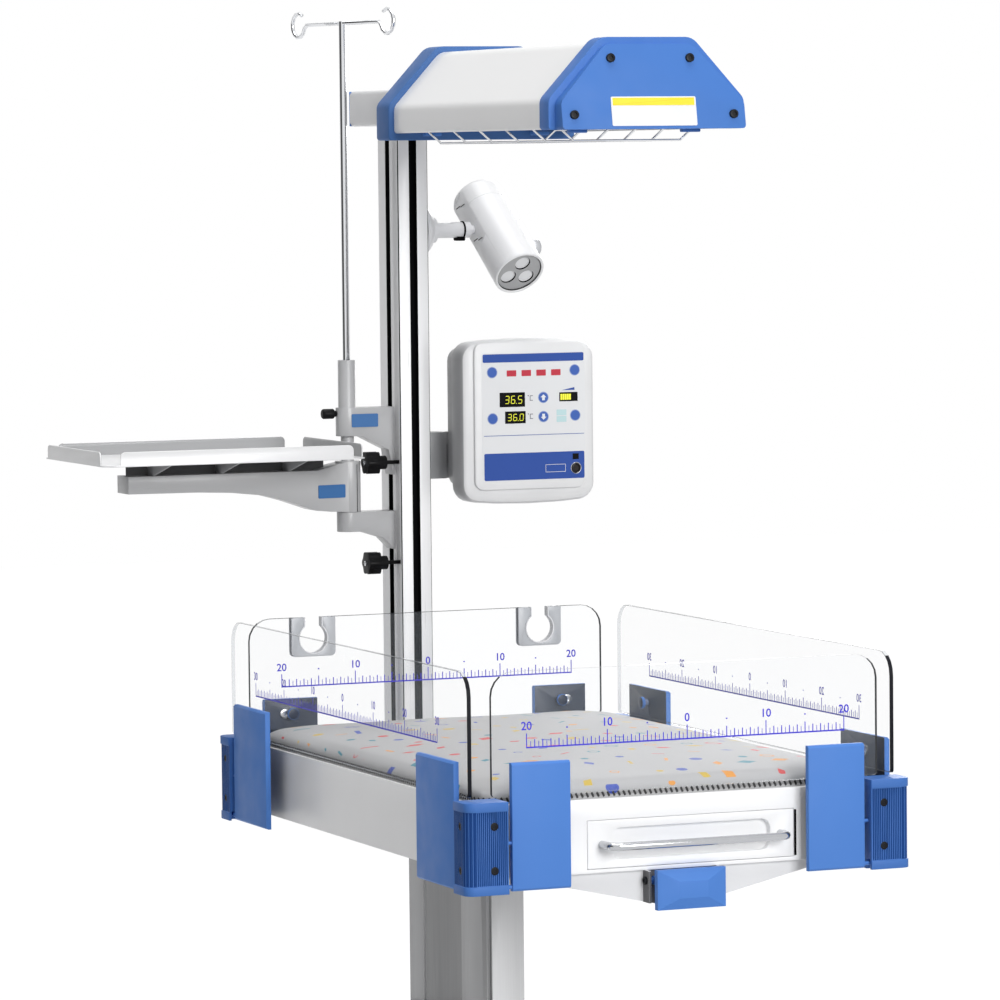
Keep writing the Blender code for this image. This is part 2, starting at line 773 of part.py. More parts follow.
block_screw_shares = (0.26, 0.74)
pin_drop = 0.006
fold_z = frame_bottom - pin_drop
fold_pin_radius = 0.0025
fold_pin_reach = 0.012
latch_pin_radius = 0.002
latch_rise = 0.050
latch_z = fold_z + latch_rise
notch_half = 0.0045
notch_depth = 0.015
plate_gap = 0.0005
end_plate_thick = 0.008
side_plate_thick = 0.0065
end_plate_y = end_wall_y + wall_thick + plate_gap
side_plate_x = side_wall_x + wall_thick + plate_gap
plate_low_drop = 0.005
plate_low = fold_z - plate_low_drop
plate_high_rise = 0.039
plate_high = wall_low + plate_high_rise
plate_bevel = 0.0025
end_plate_corner_gap = 0.0065
end_plate_width = 0.072
end_plate_outer = block_inner_x - end_plate_corner_gap
end_plate_inner = end_plate_outer - end_plate_width
side_plate_corner_gap = 0.0075
side_plate_width = 0.115
side_plate_outer = block_inner_y - side_plate_corner_gap
side_plate_inner = side_plate_outer - side_plate_width
stud_rise = 0.020
stud_radius = 0.004
stud_head_radius = 0.0075
stud_head_thick = 0.0045
end_fold_y = end_plate_y + end_plate_thick / 2
side_fold_x = side_plate_x + side_plate_thick / 2


def make_corner_blocks():
    corners = [(block_inner_x, block_inner_y), (block_outer_x, block_inner_y),
               (block_outer_x, block_outer_y), (block_inner_x, block_outer_y)]
    plan = rounded(corners, [0, 0, block_corner, 0], 4)
    sunk = rounded([(block_inner_x, block_inner_y), (block_outer_x - block_sink, block_inner_y),
                    (block_outer_x - block_sink, block_outer_y - block_sink),
                    (block_inner_x, block_outer_y - block_sink)], [0, 0, block_corner, 0], 4)
    made = prism("corner_block_rear_right", "Z", plan, block_low, block_low + block_rim)
    fuse(made, prism("waist", "Z", sunk, block_low + block_rim / 2, block_high - block_rim / 2))
    fuse(made, prism("rim", "Z", plan, block_high - block_rim, block_high))
    cut(made, block("seat", (block_inner_x - cut_over, block_inner_y - cut_over, frame_bottom - touch_gap),
                    (side_x + touch_gap, end_y + touch_gap, frame_top + touch_gap)))
    notch_top = fold_z + notch_half
    cut(made, block("end_notch", (block_inner_x - cut_over, end_fold_y - notch_half, block_low - cut_over),
                    (block_inner_x + notch_depth, end_fold_y + notch_half, notch_top)))
    cut(made, block("side_notch", (side_fold_x - notch_half, block_inner_y - cut_over,
                                   block_low - cut_over),
                    (side_fold_x + notch_half, block_inner_y + notch_depth, notch_top)))
    height = block_high - block_low
    for share in block_screw_shares:
        z = block_low + height * share
        cut(made, rod("end_screw", "Y", (block_inner_x + block_screw_inset, z), block_screw_radius,
                      block_outer_y - block_screw_sink, block_outer_y + cut_over, 12))
        cut(made, rod("side_screw", "X", (block_inner_y + block_screw_inset, z), block_screw_radius,
                      block_outer_x - block_screw_sink, block_outer_x + cut_over, 12))
    rear_left = flipped(made, "corner_block_rear_left", "X")
    front_right = flipped(made, "corner_block_front_right", "Y")
    front_left = flipped(rear_left, "corner_block_front_left", "Y")
    for each in (made, rear_left, front_right, front_left):
        finish(each, blue_plastic, "bed")


def wall_outline(half):
    corners = [(-half, wall_low), (half, wall_low), (half, wall_high), (-half, wall_high)]
    return rounded(corners, [wall_foot, wall_foot, wall_corner, wall_corner], 5)


def make_wall(name, axis, half, inner, side, stud_place, body):
    a, b = sorted((side * inner, side * (inner + wall_thick)))
    wall = prism(name, axis, wall_outline(half), a, b)
    for way in (-1, 1):
        hole = rod("stud_hole", axis, (way * stud_place, wall_low + stud_rise), stud_radius + touch_gap,
                   a - cut_over, b + cut_over, 12)
        cut(wall, hole)
    if body != "bed":
        finish(wall, clear_panel, body)
    return wall


def make_plate(name, axis, side, way, body):
    """A clamp plate outside a wall: its stud holds the wall, its pins fold and latch in the corner block."""
    on_end = axis == "Y"
    face = end_plate_y if on_end else side_plate_x
    thick = end_plate_thick if on_end else side_plate_thick
    near = end_plate_inner if on_end else side_plate_inner
    far = end_plate_outer if on_end else side_plate_outer
    corner = block_inner_x if on_end else block_inner_y
    across = "X" if on_end else "Y"
    outline = [(face, plate_low), (face + thick - plate_bevel, plate_low), (face + thick,
        plate_low + plate_bevel),
               (face + thick, plate_high - plate_bevel), (face + thick - plate_bevel, plate_high),
               (face, plate_high)]
    plate = prism(name, across, outline, near, far)
    middle = face + thick / 2
    root = far - plate_bevel
    fuse(plate, rod("fold_pin", across, (middle, fold_z), fold_pin_radius, root,
                    corner + fold_pin_reach, 12))
    fuse(plate, rod("latch_pin", across, (middle, latch_z), latch_pin_radius, root, corner - touch_gap, 12))
    inner_face = face - plate_gap - wall_thick
    centre = ((near + far) / 2, wall_low + stud_rise)
    fuse(plate, rod("stud", axis, centre, stud_radius, inner_face - stud_head_thick,
                    face + plate_bevel, 12))
    fuse(plate, rod("head", axis, centre, stud_head_radius, inner_face - stud_head_thick,
                    inner_face - touch_gap, 12))
    scale = Vector((way if on_end else side, side if on_end else way, 1))
    plate.data.transform(Matrix.Diagonal(scale.to_4d()))
    if way * side < 0:
        plate.data.flip_normals()
    finish(plate, blue_plastic, body)


# Tube grommets: slotted plates that clip over cut-outs in the top edge of the rear wall
grommet_centres = (-0.157, 0.1555)
grommet_half_width = 0.030
grommet_height = 0.050
grommet_core_half = 0.026
grommet_core_height = 0.046
grommet_lip = 0.002
grommet_bore = 0.020
grommet_neck = 0.0125
grommet_bore_drop = 0.027
grommet_corner = 0.006


def make_rear_wall():
    wall = make_wall("wall_rear", "Y", end_wall_half, end_wall_y, 1,
                     (end_plate_inner + end_plate_outer) / 2, "bed")
    y0 = end_wall_y - touch_gap - grommet_lip
    y1 = end_wall_y + wall_thick + touch_gap + grommet_lip
    for side, x in zip(("left", "right"), grommet_centres):
        core = (x - grommet_core_half, wall_high - grommet_core_height)
        cut(wall, block("opening", (core[0] - touch_gap, end_wall_y - cut_over, core[1] - touch_gap),
                        (x + grommet_core_half + touch_gap, end_wall_y + wall_thick + cut_over,
                         wall_high + cut_over)))
        outline = oblong(x - grommet_half_width, wall_high - grommet_height, x + grommet_half_width,
                         wall_high, [grommet_corner, grommet_corner, 0, 0])
        plate = prism("tube_grommet_" + side, "Y", outline, y0, y1)
        slot_y = (end_wall_y - touch_gap, end_wall_y + wall_thick + touch_gap)
        slot = block("slot", (x - grommet_half_width - cut_over, slot_y[0],
                              wall_high - grommet_height - cut_over),
                     (x + grommet_half_width + cut_over, slot_y[1], wall_high + cut_over))
        cut(slot, block("core", (core[0], slot_y[0] - cut_over, core[1]),
                        (x + grommet_core_half, slot_y[1] + cut_over, wall_high + cut_over * 2)))
        cut(plate, slot)
        bore_z = wall_high - grommet_bore_drop
        cut(plate, rod("bore", "Y", (x, bore_z), grommet_bore, y0 - cut_over, y1 + cut_over, round_sides))
        cut(plate, block("neck", (x - grommet_neck, y0 - cut_over, bore_z),
                         (x + grommet_neck, y1 + cut_over, wall_high + cut_over)))
        finish(plate, white_plastic, "bed")
    finish(wall, clear_panel, "bed")


def make_walls():
    end_stud = (end_plate_inner + end_plate_outer) / 2
    side_stud = (side_plate_inner + side_plate_outer) / 2
    body_frame("front_wall", (0, -end_fold_y, fold_z), "bed")
    body_frame("left_wall", (-side_fold_x, 0, fold_z), "bed")
    body_frame("right_wall", (side_fold_x, 0, fold_z), "bed")
    make_wall("wall_front", "Y", end_wall_half, end_wall_y, -1, end_stud, "front_wall")
    make_wall("wall_left", "X", side_wall_half, side_wall_x, -1, side_stud, "left_wall")
    make_wall("wall_right", "X", side_wall_half, side_wall_x, 1, side_stud, "right_wall")
    make_rear_wall()
    for way, end in ((-1, "left"), (1, "right")):
        make_plate("clamp_plate_front_" + end, "Y", -1, way, "front_wall")
        make_plate("clamp_plate_rear_" + end, "Y", 1, way, "bed")
    for way, end in ((-1, "front"), (1, "rear")):
        make_plate("clamp_plate_left_" + end, "X", -1, way, "left_wall")
        make_plate("clamp_plate_right_" + end, "X", 1, way, "right_wall")


def make_bed():
    make_bed_frame()
    make_mattress()
    make_drawer()
    make_under_pan()
    make_tilt_handle()
    make_corner_blocks()
    make_walls()


make_bed()

# Upper column: an extrusion with a slot in front, a concave waist and a slot in each side
front_slot_half = 0.005
front_slot_depth = 0.008
front_plate_thick = 0.0045
corner_groove = 0.0015
waist_x = 0.013
waist_start = 0.0055
waist_end = 0.025
side_slot_start = 0.028
side_slot_end = 0.043
side_slot_depth = 0.008
swivel_radius = 0.006
swivel_depth = 0.028
swivel_set_back = 0.018
swivel_y = column_rear - swivel_set_back


def waist_at(y):
    """How far the concave waist reaches from the middle plane at a given depth."""
    share = (y - column_front - waist_start) / (waist_end - waist_start)
    turn = math.asin(min(max(share, 0), 1))
    return waist_x + (column_side - waist_x) * (1 - math.cos(turn))


def make_upper_column():
    front = column_front
    half = [(0, front + front_slot_depth), (front_slot_half, front + front_slot_depth),
            (front_slot_half, front),
            (column_side - corner_groove, front), (column_side, front + corner_groove),
            (column_side, front + front_plate_thick), (waist_x, front + waist_start)]
    for k in range(1, 6):
        y = front + waist_start + (waist_end - waist_start) * math.sin(k * math.pi / 10)
        half.append((waist_at(y), y))
    slot = column_side - side_slot_depth
    half += [(column_side, front + side_slot_start), (slot, front + side_slot_start),
             (slot, front + side_slot_end), (column_side, front + side_slot_end),
             (column_side, column_rear), (0, column_rear)]
    column = prism("upper_column", "Z", mirrored(half), yoke_top + touch_gap, column_top)
    cut(column, rod("bore", "Z", (0, swivel_y), swivel_radius + touch_gap,
                    column_top - swivel_depth - touch_gap,
                    column_top + cut_over))
    finish(column, column_metal, "lift")


# Heater head: an arm that swivels on the column top, two end caps, a shell, and the heater inside
arm_half_width = 0.060
arm_height = 0.045
arm_low = column_top + touch_gap
arm_rear_inset = 0.0015
arm_rear = column_rear - arm_rear_inset
arm_edge = 0.005
arm_reach = 0.192
head_rear = column_front - arm_reach
rear_cap_thick = 0.042
rear_cap_grow = 0.001
rear_cap_drop = 0.0085
shell_length = 0.510
shell_front = head_rear - shell_length
flange_depth = 0.027
flange_front = shell_front - flange_depth
cap_depth = 0.023
cap_front = flange_front - cap_depth
cap_lean = 0.018
cap_inset = 0.008
shell_inset = 0.006
shell_sheet = 0.003
head_low_drop = 0.0107
head_low = column_top - head_low_drop
shoulder_rise = 0.035
roof_half = 0.058
shoulder_round = 0.014
roof_round = 0.020
foot_round = 0.004
reflector_sheet = 0.0015
reflector_half_width = 0.098
reflector_roof_half = 0.050
reflector_low_rise = 0.0045
reflector_low = head_low + reflector_low_rise
reflector_high_rise = 0.076
reflector_high = head_low + reflector_high_rise
heater_radius = 0.006
heater_rise = 0.045
heater_z = head_low + heater_rise
guard_radius = 0.0014
guard_half_width = 0.085
guard_floor_half = 0.068
guard_high_rise = 0.0025
guard_high = head_low + guard_high_rise
guard_low_drop = 0.0125
guard_low = head_low - guard_low_drop
guard_loops = 6
guard_end = 0.030
body_frame("head", (0, swivel_y, column_top), "lift")


def head_outline(inset, drop=0.0):
    half = head_half_width - inset
    high = head_low + head_height - inset
    shoulder = head_low + shoulder_rise - inset * 0.4
    roof = roof_half - inset * 0.4
    low = head_low - drop
    corners = [(-half, low), (half, low), (half, shoulder), (roof, high), (-roof, high), (-half, shoulder)]
    radii = [foot_round, foot_round, shoulder_round, roof_round, roof_round, shoulder_round]
    return rounded(corners, radii, 4)


def make_head():
    outline = oblong(-arm_half_width, arm_low, arm_half_width, arm_low + arm_height, arm_edge, 2)
    arm = prism("head_arm", "Y", outline, head_rear + touch_gap, arm_rear)
    fuse(arm, rod("swivel", "Z", (0, swivel_y), swivel_radius, column_top - swivel_depth,
                  arm_low + arm_edge))
    finish(arm, white_paint, "head")

    rear = prism("head_rear_cap", "Y", head_outline(-rear_cap_grow, rear_cap_drop),
                 head_rear - rear_cap_thick, head_rear)
    finish(rear, blue_plastic, "head")

    front = prism("head_front_cap", "Y", head_outline(0), flange_front, shell_front - touch_gap)
    fuse(front, prism("face", "Y", head_outline(cap_inset), cap_front - cap_inset,
                      flange_front + cap_inset))
    top = head_low + head_height
    lean = cap_lean / head_height
    wedge = [(cap_front - cut_over * 2, head_low - cut_over), (cap_front - lean * cut_over,
        head_low - cut_over),
             (cap_front + cap_lean + lean * cut_over, top + cut_over), (cap_front - cut_over * 2,
                 top + cut_over)]
    cut(front, prism("lean", "X", wedge, -head_half_width - cut_over, head_half_width + cut_over))
    finish(front, blue_plastic, "head")

    rear_of_shell = head_rear - rear_cap_thick - touch_gap
    shell = prism("head_shell", "Y", head_outline(shell_inset), shell_front, rear_of_shell)
    cut(shell, prism("hollow", "Y", head_outline(shell_inset + shell_sheet, cut_over),
                     shell_front - cut_over, rear_of_shell + cut_over))
    finish(shell, white_plastic, "head")
    y0 = shell_front
    y1 = rear_of_shell
    make_heater(y0, y1)


def make_heater(y0, y1):
    sheet = reflector_sheet
    out = [(-reflector_half_width, reflector_low), (-reflector_roof_half, reflector_high),
           (reflector_roof_half, reflector_high), (reflector_half_width, reflector_low)]
    back = [(x - math.copysign(sheet * 1.2, x), z - (sheet if z == reflector_high else 0)) for x,
            z in reversed(out)]
    finish(prism("head_reflector", "Y", out + back, y0, y1), bright_reflector, "head")
    finish(rod("heater_element", "Y", (0, heater_z), heater_radius, y0, y1, small_sides), heater_tube,
           "head")
    guard = None
    for side in (-1, 1):
        bar = sweep("wire_guard", [(side * guard_half_width, y0, guard_high), (side * guard_half_width,
            y1, guard_high)], guard_radius, 6)
        if guard is None:
            guard = bar
        else:
            spare = bar
    step = (y1 - y0 - 2 * guard_end) / (guard_loops - 1)
    for k in range(guard_loops):
        y = y0 + guard_end + k * step
        half = guard_half_width + guard_radius * 0.3
        path = [(-half, y, guard_high), (-guard_floor_half, y, guard_low), (guard_floor_half, y,
            guard_low), (half, y, guard_high)]
        fuse(guard, sweep("loop", path, guard_radius, 6))
    fuse(guard, spare)
    finish(guard, chrome, "head")


# Lamp: a domed flange and tube on the column's right side, and a body that tilts on the tube's spigot
lamp_set_back = 0.033
lamp_y = column_front + lamp_set_back
lamp_rise = 0.572
lamp_z = line + lamp_rise
lamp_flange_radius = 0.0335
lamp_flange_thick = 0.0047
lamp_dome_thick = 0.0152
lamp_collar_radius = 0.0165
lamp_collar_end = 0.021
lamp_tube_radius = 0.01025
lamp_tube_reach = 0.0702
lamp_spigot_radius = 0.006
lamp_spigot_length = 0.012
lamp_radius = 0.034
lamp_back = 0.068
lamp_front = 0.086
lamp_pitch = math.radians(41)
lamp_yaw = math.radians(6.6)
lamp_pocket_radius = 0.0300
lamp_pocket_depth = 0.006
lamp_disc_thick = 0.0035
lamp_lens_radius = 0.0100
lamp_lens_place = 0.0148
lamp_lens_rise = 0.0015
lamp_knob_radius = 0.010
lamp_knob_height = 0.010
lamp_knob_along = 0.029
lamp_turn_gap = 0.0016
lamp_x = column_side + lamp_tube_reach + lamp_turn_gap + lamp_radius
body_frame("lamp", (lamp_x, lamp_y, lamp_z), "lift")


def make_lamp():
    base = column_side + touch_gap
    end = column_side + lamp_tube_reach
    profile = [(base, lamp_flange_radius), (base + lamp_flange_thick, lamp_flange_radius),
               (base + lamp_dome_thick * 0.75, lamp_flange_radius * 0.78),
               (base + lamp_dome_thick, lamp_collar_radius), (base + lamp_collar_end, lamp_collar_radius),
               (base + lamp_collar_end, lamp_tube_radius), (end, lamp_tube_radius), (end,
                   lamp_spigot_radius),
               (end + lamp_spigot_length, lamp_spigot_radius)]
    finish(turned("lamp_mount", "X", (lamp_y, lamp_z), profile, small_sides + 4), white_paint, "lift")

    aim = Matrix.Translation((lamp_x, lamp_y, lamp_z)) @ Matrix.Rotation(lamp_yaw, 4, "Z")
    aim = aim @ Matrix.Rotation(math.pi / 2 + lamp_pitch, 4, "X")
    r = lamp_radius
    profile = [(-lamp_back, r * 0.74), (-lamp_back + r * 0.09, r * 0.92), (-lamp_back + r * 0.24, r),
               (lamp_front - r * 0.06, r), (lamp_front, r * 0.97)]
    body = moved(turned("lamp_body", "Z", (0, 0), profile), aim)
    pocket = turned("pocket", "Z", (0, 0), [(lamp_front - lamp_pocket_depth, lamp_pocket_radius),
                                            (lamp_front + cut_over, lamp_pocket_radius)])
    cut(body, moved(pocket, aim))
    cut(body, rod("bore", "X", (lamp_y, lamp_z), lamp_spigot_radius + touch_gap, lamp_x - r - cut_over,
                  end + lamp_spigot_length + touch_gap))
    knob = rod("knob", "X", (0, 0), lamp_knob_radius, r * 0.8, r + lamp_knob_height, small_sides)
    along = aim @ Matrix.Translation((0, 0, lamp_knob_along))
    fuse(body, moved(knob, along))
    finish(body, white_plastic, "lamp")

    low = lamp_front - lamp_pocket_depth + touch_gap
    face = turned("lamp_face", "Z", (0, 0), [(low, lamp_pocket_radius - touch_gap),
                                             (low + lamp_disc_thick, lamp_pocket_radius - touch_gap)])
    for k in range(3):
        turn = math.pi / 2 + k * 2 * math.pi / 3
        centre = (lamp_lens_place * math.cos(turn), lamp_lens_place * math.sin(turn))
        fuse(face, rod("lens", "Z", centre, lamp_lens_radius, low + lamp_disc_thick / 2,
                       low + lamp_disc_thick + lamp_lens_rise, small_sides))
    finish(moved(face, aim), grey_paint, "lamp")


# Control box: a hinged bracket on the column's right side, a plate on its back, a case and its front
control_low_rise = 0.221
control_low = line + control_low_rise
control_height = 0.212
control_left_gap = 0.017
control_left = column_side + control_left_gap
control_width = 0.186
control_front_reach = 0.065
control_front_y = column_front - control_front_reach
control_join_reach = 0.022
control_join_y = column_front - control_join_reach
control_rear_set_back = 0.013
control_rear_y = column_front + control_rear_set_back
control_arch = 0.005
control_round = 0.022
control_rear_inset_x = 0.012
control_rear_inset_z = 0.016
control_edge = 0.009
bezel_left = 0.016
bezel_right = 0.016
bezel_low = 0.019
bezel_high = 0.004
bezel_thick = 0.0042
bezel_round = 0.012
hinge_reach = 0.039
hinge_x = column_side + hinge_reach
hinge_set_back = 0.033
hinge_y = column_front + hinge_set_back
hinge_low_rise = 0.252
hinge_low = line + hinge_low_rise
hinge_height = 0.060
hinge_half_depth = 0.015
hinge_block_reach = 0.029
hinge_knuckle = 0.009
hinge_ear = 0.016
hinge_pin = 0.004
back_plate_thick = 0.0115
back_plate_gap = 0.051
back_plate_left = column_side + back_plate_gap
back_plate_right = control_left + control_width * 0.78
back_plate_rise = 0.012
body_frame("control_box", (hinge_x, hinge_y, hinge_low), "lift")


def arched(left, low, right, high, arch, corner):
    """A rounded rectangle whose top and bottom edges bow outwards."""
    mid = (left + right) / 2
    quarter = (right - left) / 4
    near = arch * 0.25
    corners = [(left, low + arch), (mid - quarter, low + near), (mid, low), (mid + quarter, low + near),
               (right, low + arch), (right, high - arch), (mid + quarter, high - near), (mid, high),
               (mid - quarter, high - near), (left, high - arch)]
    return rounded(corners, [corner, 0, 0, 0, corner, corner, 0, 0, 0, corner], 5)


def make_control_box():
    high = hinge_low + hinge_height
    bracket = block("control_hinge", (column_side + touch_gap, hinge_y - hinge_half_depth, hinge_low),
                    (column_side + hinge_block_reach, hinge_y + hinge_half_depth, high))
    for low in (hinge_low, high - hinge_ear):
        ear = rod("ear", "Z", (hinge_x, hinge_y), hinge_knuckle, low, low + hinge_ear, small_sides)
        fuse(bracket, ear)
        fuse(bracket, block("link", (column_side + hinge_block_reach / 2,
                                     hinge_y - hinge_knuckle * 0.8, low),
                            (hinge_x, hinge_y + hinge_knuckle * 0.8, low + hinge_ear)))
    fuse(bracket, rod("pin", "Z", (hinge_x, hinge_y), hinge_pin, hinge_low + hinge_ear / 2,
                      high - hinge_ear / 2))
    finish(bracket, grey_paint, "lift")

    plate_y = control_rear_y + touch_gap
    low = hinge_low + hinge_ear + run_gap
    top = high - hinge_ear - run_gap
    arm = block("control_arm", (back_plate_left, plate_y, hinge_low - back_plate_rise),
                (back_plate_right, plate_y + back_plate_thick, high + back_plate_rise))
    fuse(arm, rod("knuckle", "Z", (hinge_x, hinge_y), hinge_knuckle, low, top, small_sides))
    link = [(hinge_x, hinge_y - hinge_knuckle * 0.9), (back_plate_left + hinge_knuckle * 2,
                                                       plate_y + back_plate_thick * 0.3),
            (back_plate_left + hinge_knuckle * 2, hinge_y + hinge_knuckle * 0.6), (hinge_x,
                hinge_y + hinge_knuckle * 0.9)]
    fuse(arm, prism("link", "Z", link, low, top))
    cut(arm, rod("bore", "Z", (hinge_x, hinge_y), hinge_pin + touch_gap, low - cut_over, top + cut_over))
    finish(arm, grey_paint, "control_box")

    right = control_left + control_width
    high = control_low + control_height
    case = prism("control_case", "Y", arched(control_left, control_low, right, high, control_arch,
                                             control_round),
                 control_front_y, control_join_y)
    soften(case, control_edge, 2)
    inset_x = control_rear_inset_x
    inset_z = control_rear_inset_z
    back = arched(control_left + inset_x, control_low + inset_z, right - inset_x, high - inset_z / 2,
                  control_arch, control_round * 0.8)
    fuse(case, prism("back", "Y", back, control_join_y - control_edge * 1.4, control_rear_y))
    finish(case, white_plastic, "control_box")

    outline = oblong(control_left + bezel_left, control_low + bezel_low, right - bezel_right,
                     high - bezel_high, bezel_round)
    front = prism("control_front", "Y", outline, control_front_y - bezel_thick, control_front_y - touch_gap)
    finish(front, white_plastic, "control_box")

# Drip pole: a bracket with a sleeve on the column's left side, the pole with two hooks and its clamp screw
boss_reach = 0.0595
boss_x = -column_side - boss_reach
boss_set_back = 0.035
boss_y = column_front + boss_set_back
boss_radius = 0.0148
bracket_half_depth = 0.014
iv_boss_low_rise = 0.310
iv_boss_low = line + iv_boss_low_rise
iv_boss_high_rise = 0.3465
iv_boss_high = line + iv_boss_high_rise
iv_slope_end = 0.008
iv_slope_drop = 0.0185
iv_tip_drop = 0.051
sleeve_radius = 0.01125
sleeve_length = 0.061
pole_radius = 0.00475
pole_foot_rise = 0.1905
pole_foot = line + pole_foot_rise
pole_head_rise = 0.838
pole_head = line + pole_head_rise
wire_radius = 0.0025
crossbar_half = 0.094
crossbar_turn = math.radians(-80)
ring_radius = 0.0155
ring_open_degrees = 55
ring_steps = 10
iv_knob_rise = 0.339
iv_knob_z = line + iv_knob_rise
iv_knob_radius = 0.0065
iv_knob_length = 0.017
iv_knob_neck = 0.004
iv_screw_radius = 0.0025


def bracket_outline(low, high, slope_x, slope_low, tip):
    """Seen from the front: level on top, and swept down to a tip at the column."""
    root = -column_side - touch_gap
    return [(root, high), (boss_x, high), (boss_x, low), (boss_x + boss_radius, low),
            (slope_x, slope_low), (root - corner_groove, tip), (root, tip)]


def make_iv_bracket():
    slope_x = -column_side - iv_slope_end
    outline = bracket_outline(iv_boss_low, iv_boss_high, slope_x, iv_boss_low - iv_slope_drop,
                              iv_boss_low - iv_tip_drop)
    y0 = boss_y - bracket_half_depth
    y1 = boss_y + bracket_half_depth
    bracket = prism("iv_bracket", "Y", outline, y0, y1)
    fuse(bracket, rod("boss", "Z", (boss_x, boss_y), boss_radius, iv_boss_low, iv_boss_high, round_sides))
    fuse(bracket, rod("sleeve", "Z", (boss_x, boss_y), sleeve_radius, iv_boss_high - cut_over,
                      iv_boss_high + sleeve_length, small_sides + 4))
    cut(bracket, rod("bore", "Z", (boss_x, boss_y), pole_radius + touch_gap, iv_boss_low - cut_over,
                     iv_boss_high + sleeve_length + cut_over))
    cut(bracket, rod("screw_hole", "X", (boss_y, iv_knob_z), iv_screw_radius + touch_gap,
                     boss_x - boss_radius - cut_over, boss_x - pole_radius / 2))
    finish(bracket, grey_paint, "lift")


def hook_path(side):
    """From the middle of the crossbar out to a ring that stays open at its top inner side."""
    out = Vector((math.cos(crossbar_turn), math.sin(crossbar_turn), 0)) * side
    centre = Vector((boss_x, boss_y, pole_head)) + out * (crossbar_half + ring_radius)
    path = [Vector((boss_x, boss_y, pole_head)), centre - out * (ring_radius + wire_radius * 2.2)]
    whole = math.radians(360 - ring_open_degrees - 15)
    for k in range(ring_steps + 1):
        turn = math.pi + math.radians(15) + whole * k / ring_steps
        path.append(centre + out * math.cos(turn) * ring_radius + Vector((0, 0,
            1)) * math.sin(turn) * ring_radius)
    return path


def make_iv_pole():
    body_frame("iv_pole", (boss_x, boss_y, iv_boss_low), "lift")
    pole = rod("iv_pole", "Z", (boss_x, boss_y), pole_radius, pole_foot, pole_head + wire_radius)
    one = hook_path(1)
    other = hook_path(-1)
    fuse(pole, sweep("hooks", list(reversed(other[1:])) + one[1:], wire_radius, 6))
    finish(pole, chrome, "iv_pole")

    body_frame("iv_knob", (boss_x - boss_radius, boss_y, iv_knob_z), "lift")
    near = boss_x - boss_radius - touch_gap
    far = near - iv_knob_neck * 0.6 - iv_knob_length
    profile = [(far, iv_knob_radius * 0.8), (far + iv_knob_neck * 0.4, iv_knob_radius),
               (near - iv_knob_neck, iv_knob_radius), (near - iv_knob_neck * 0.6, iv_knob_neck), (near,
                   iv_knob_neck),
               (near, iv_screw_radius), (boss_x - pole_radius - touch_gap, iv_screw_radius)]
    finish(turned("iv_knob", "X", (boss_y, iv_knob_z), profile, small_sides), black_plastic, "iv_knob")


# Tray: a bracket with a hollow pivot, an arm that swings on it, and the tray on three ribs
tray_boss_low_rise = 0.187
tray_boss_low = line + tray_boss_low_rise
tray_boss_high_rise = 0.2125
tray_boss_high = line + tray_boss_high_rise
tray_slope_end = 0.0165
tray_slope_drop = 0.009
tray_tip_drop = 0.024
pivot_tube_radius = 0.0085
pole_foot_clear = 0.0005
barrel_radius = 0.0165
barrel_rise = 0.2775
barrel_high = line + barrel_rise
tray_half_depth = 0.022
tray_left_reach = 0.428
tray_left = column_side + tray_left_reach
tray_right_reach = 0.078
tray_right = column_side + tray_right_reach
tray_front_reach = 0.087
tray_front_y = column_front - tray_front_reach
tray_rear_reach = 0.0955
tray_rear_y = column_rear + tray_rear_reach
tray_floor_rise = 0.2865
tray_floor = line + tray_floor_rise
tray_wall_height = 0.0185
tray_sheet = 0.002
tray_corner = 0.020
rib_thick = 0.003
rib_reach = 0.078
arm_top_rise = 0.268
arm_top_z = line + arm_top_rise
rib_shares = (0.28, 0.54, 0.80)
tray_arm_reach = 0.364
tray_arm_end = column_side + tray_arm_reach


def make_tray_bracket():
    slope_x = -column_side - tray_slope_end
    outline = bracket_outline(tray_boss_low, tray_boss_high, slope_x, tray_boss_low - tray_slope_drop,
                              tray_boss_low - tray_tip_drop)
    bracket = prism("tray_bracket", "Y", outline, boss_y - bracket_half_depth, boss_y + bracket_half_depth)
    fuse(bracket, rod("boss", "Z", (boss_x, boss_y), boss_radius, tray_boss_low, tray_boss_high,
                      round_sides))
    tube_top = iv_boss_low - run_gap
    fuse(bracket, rod("tube", "Z", (boss_x, boss_y), pivot_tube_radius, tray_boss_high - cut_over,
                      tube_top, small_sides + 4))
    cut(bracket, rod("bore", "Z", (boss_x, boss_y), pole_radius + touch_gap,
                     pole_foot - pole_foot_clear, tube_top + cut_over))
    finish(bracket, grey_paint, "lift")


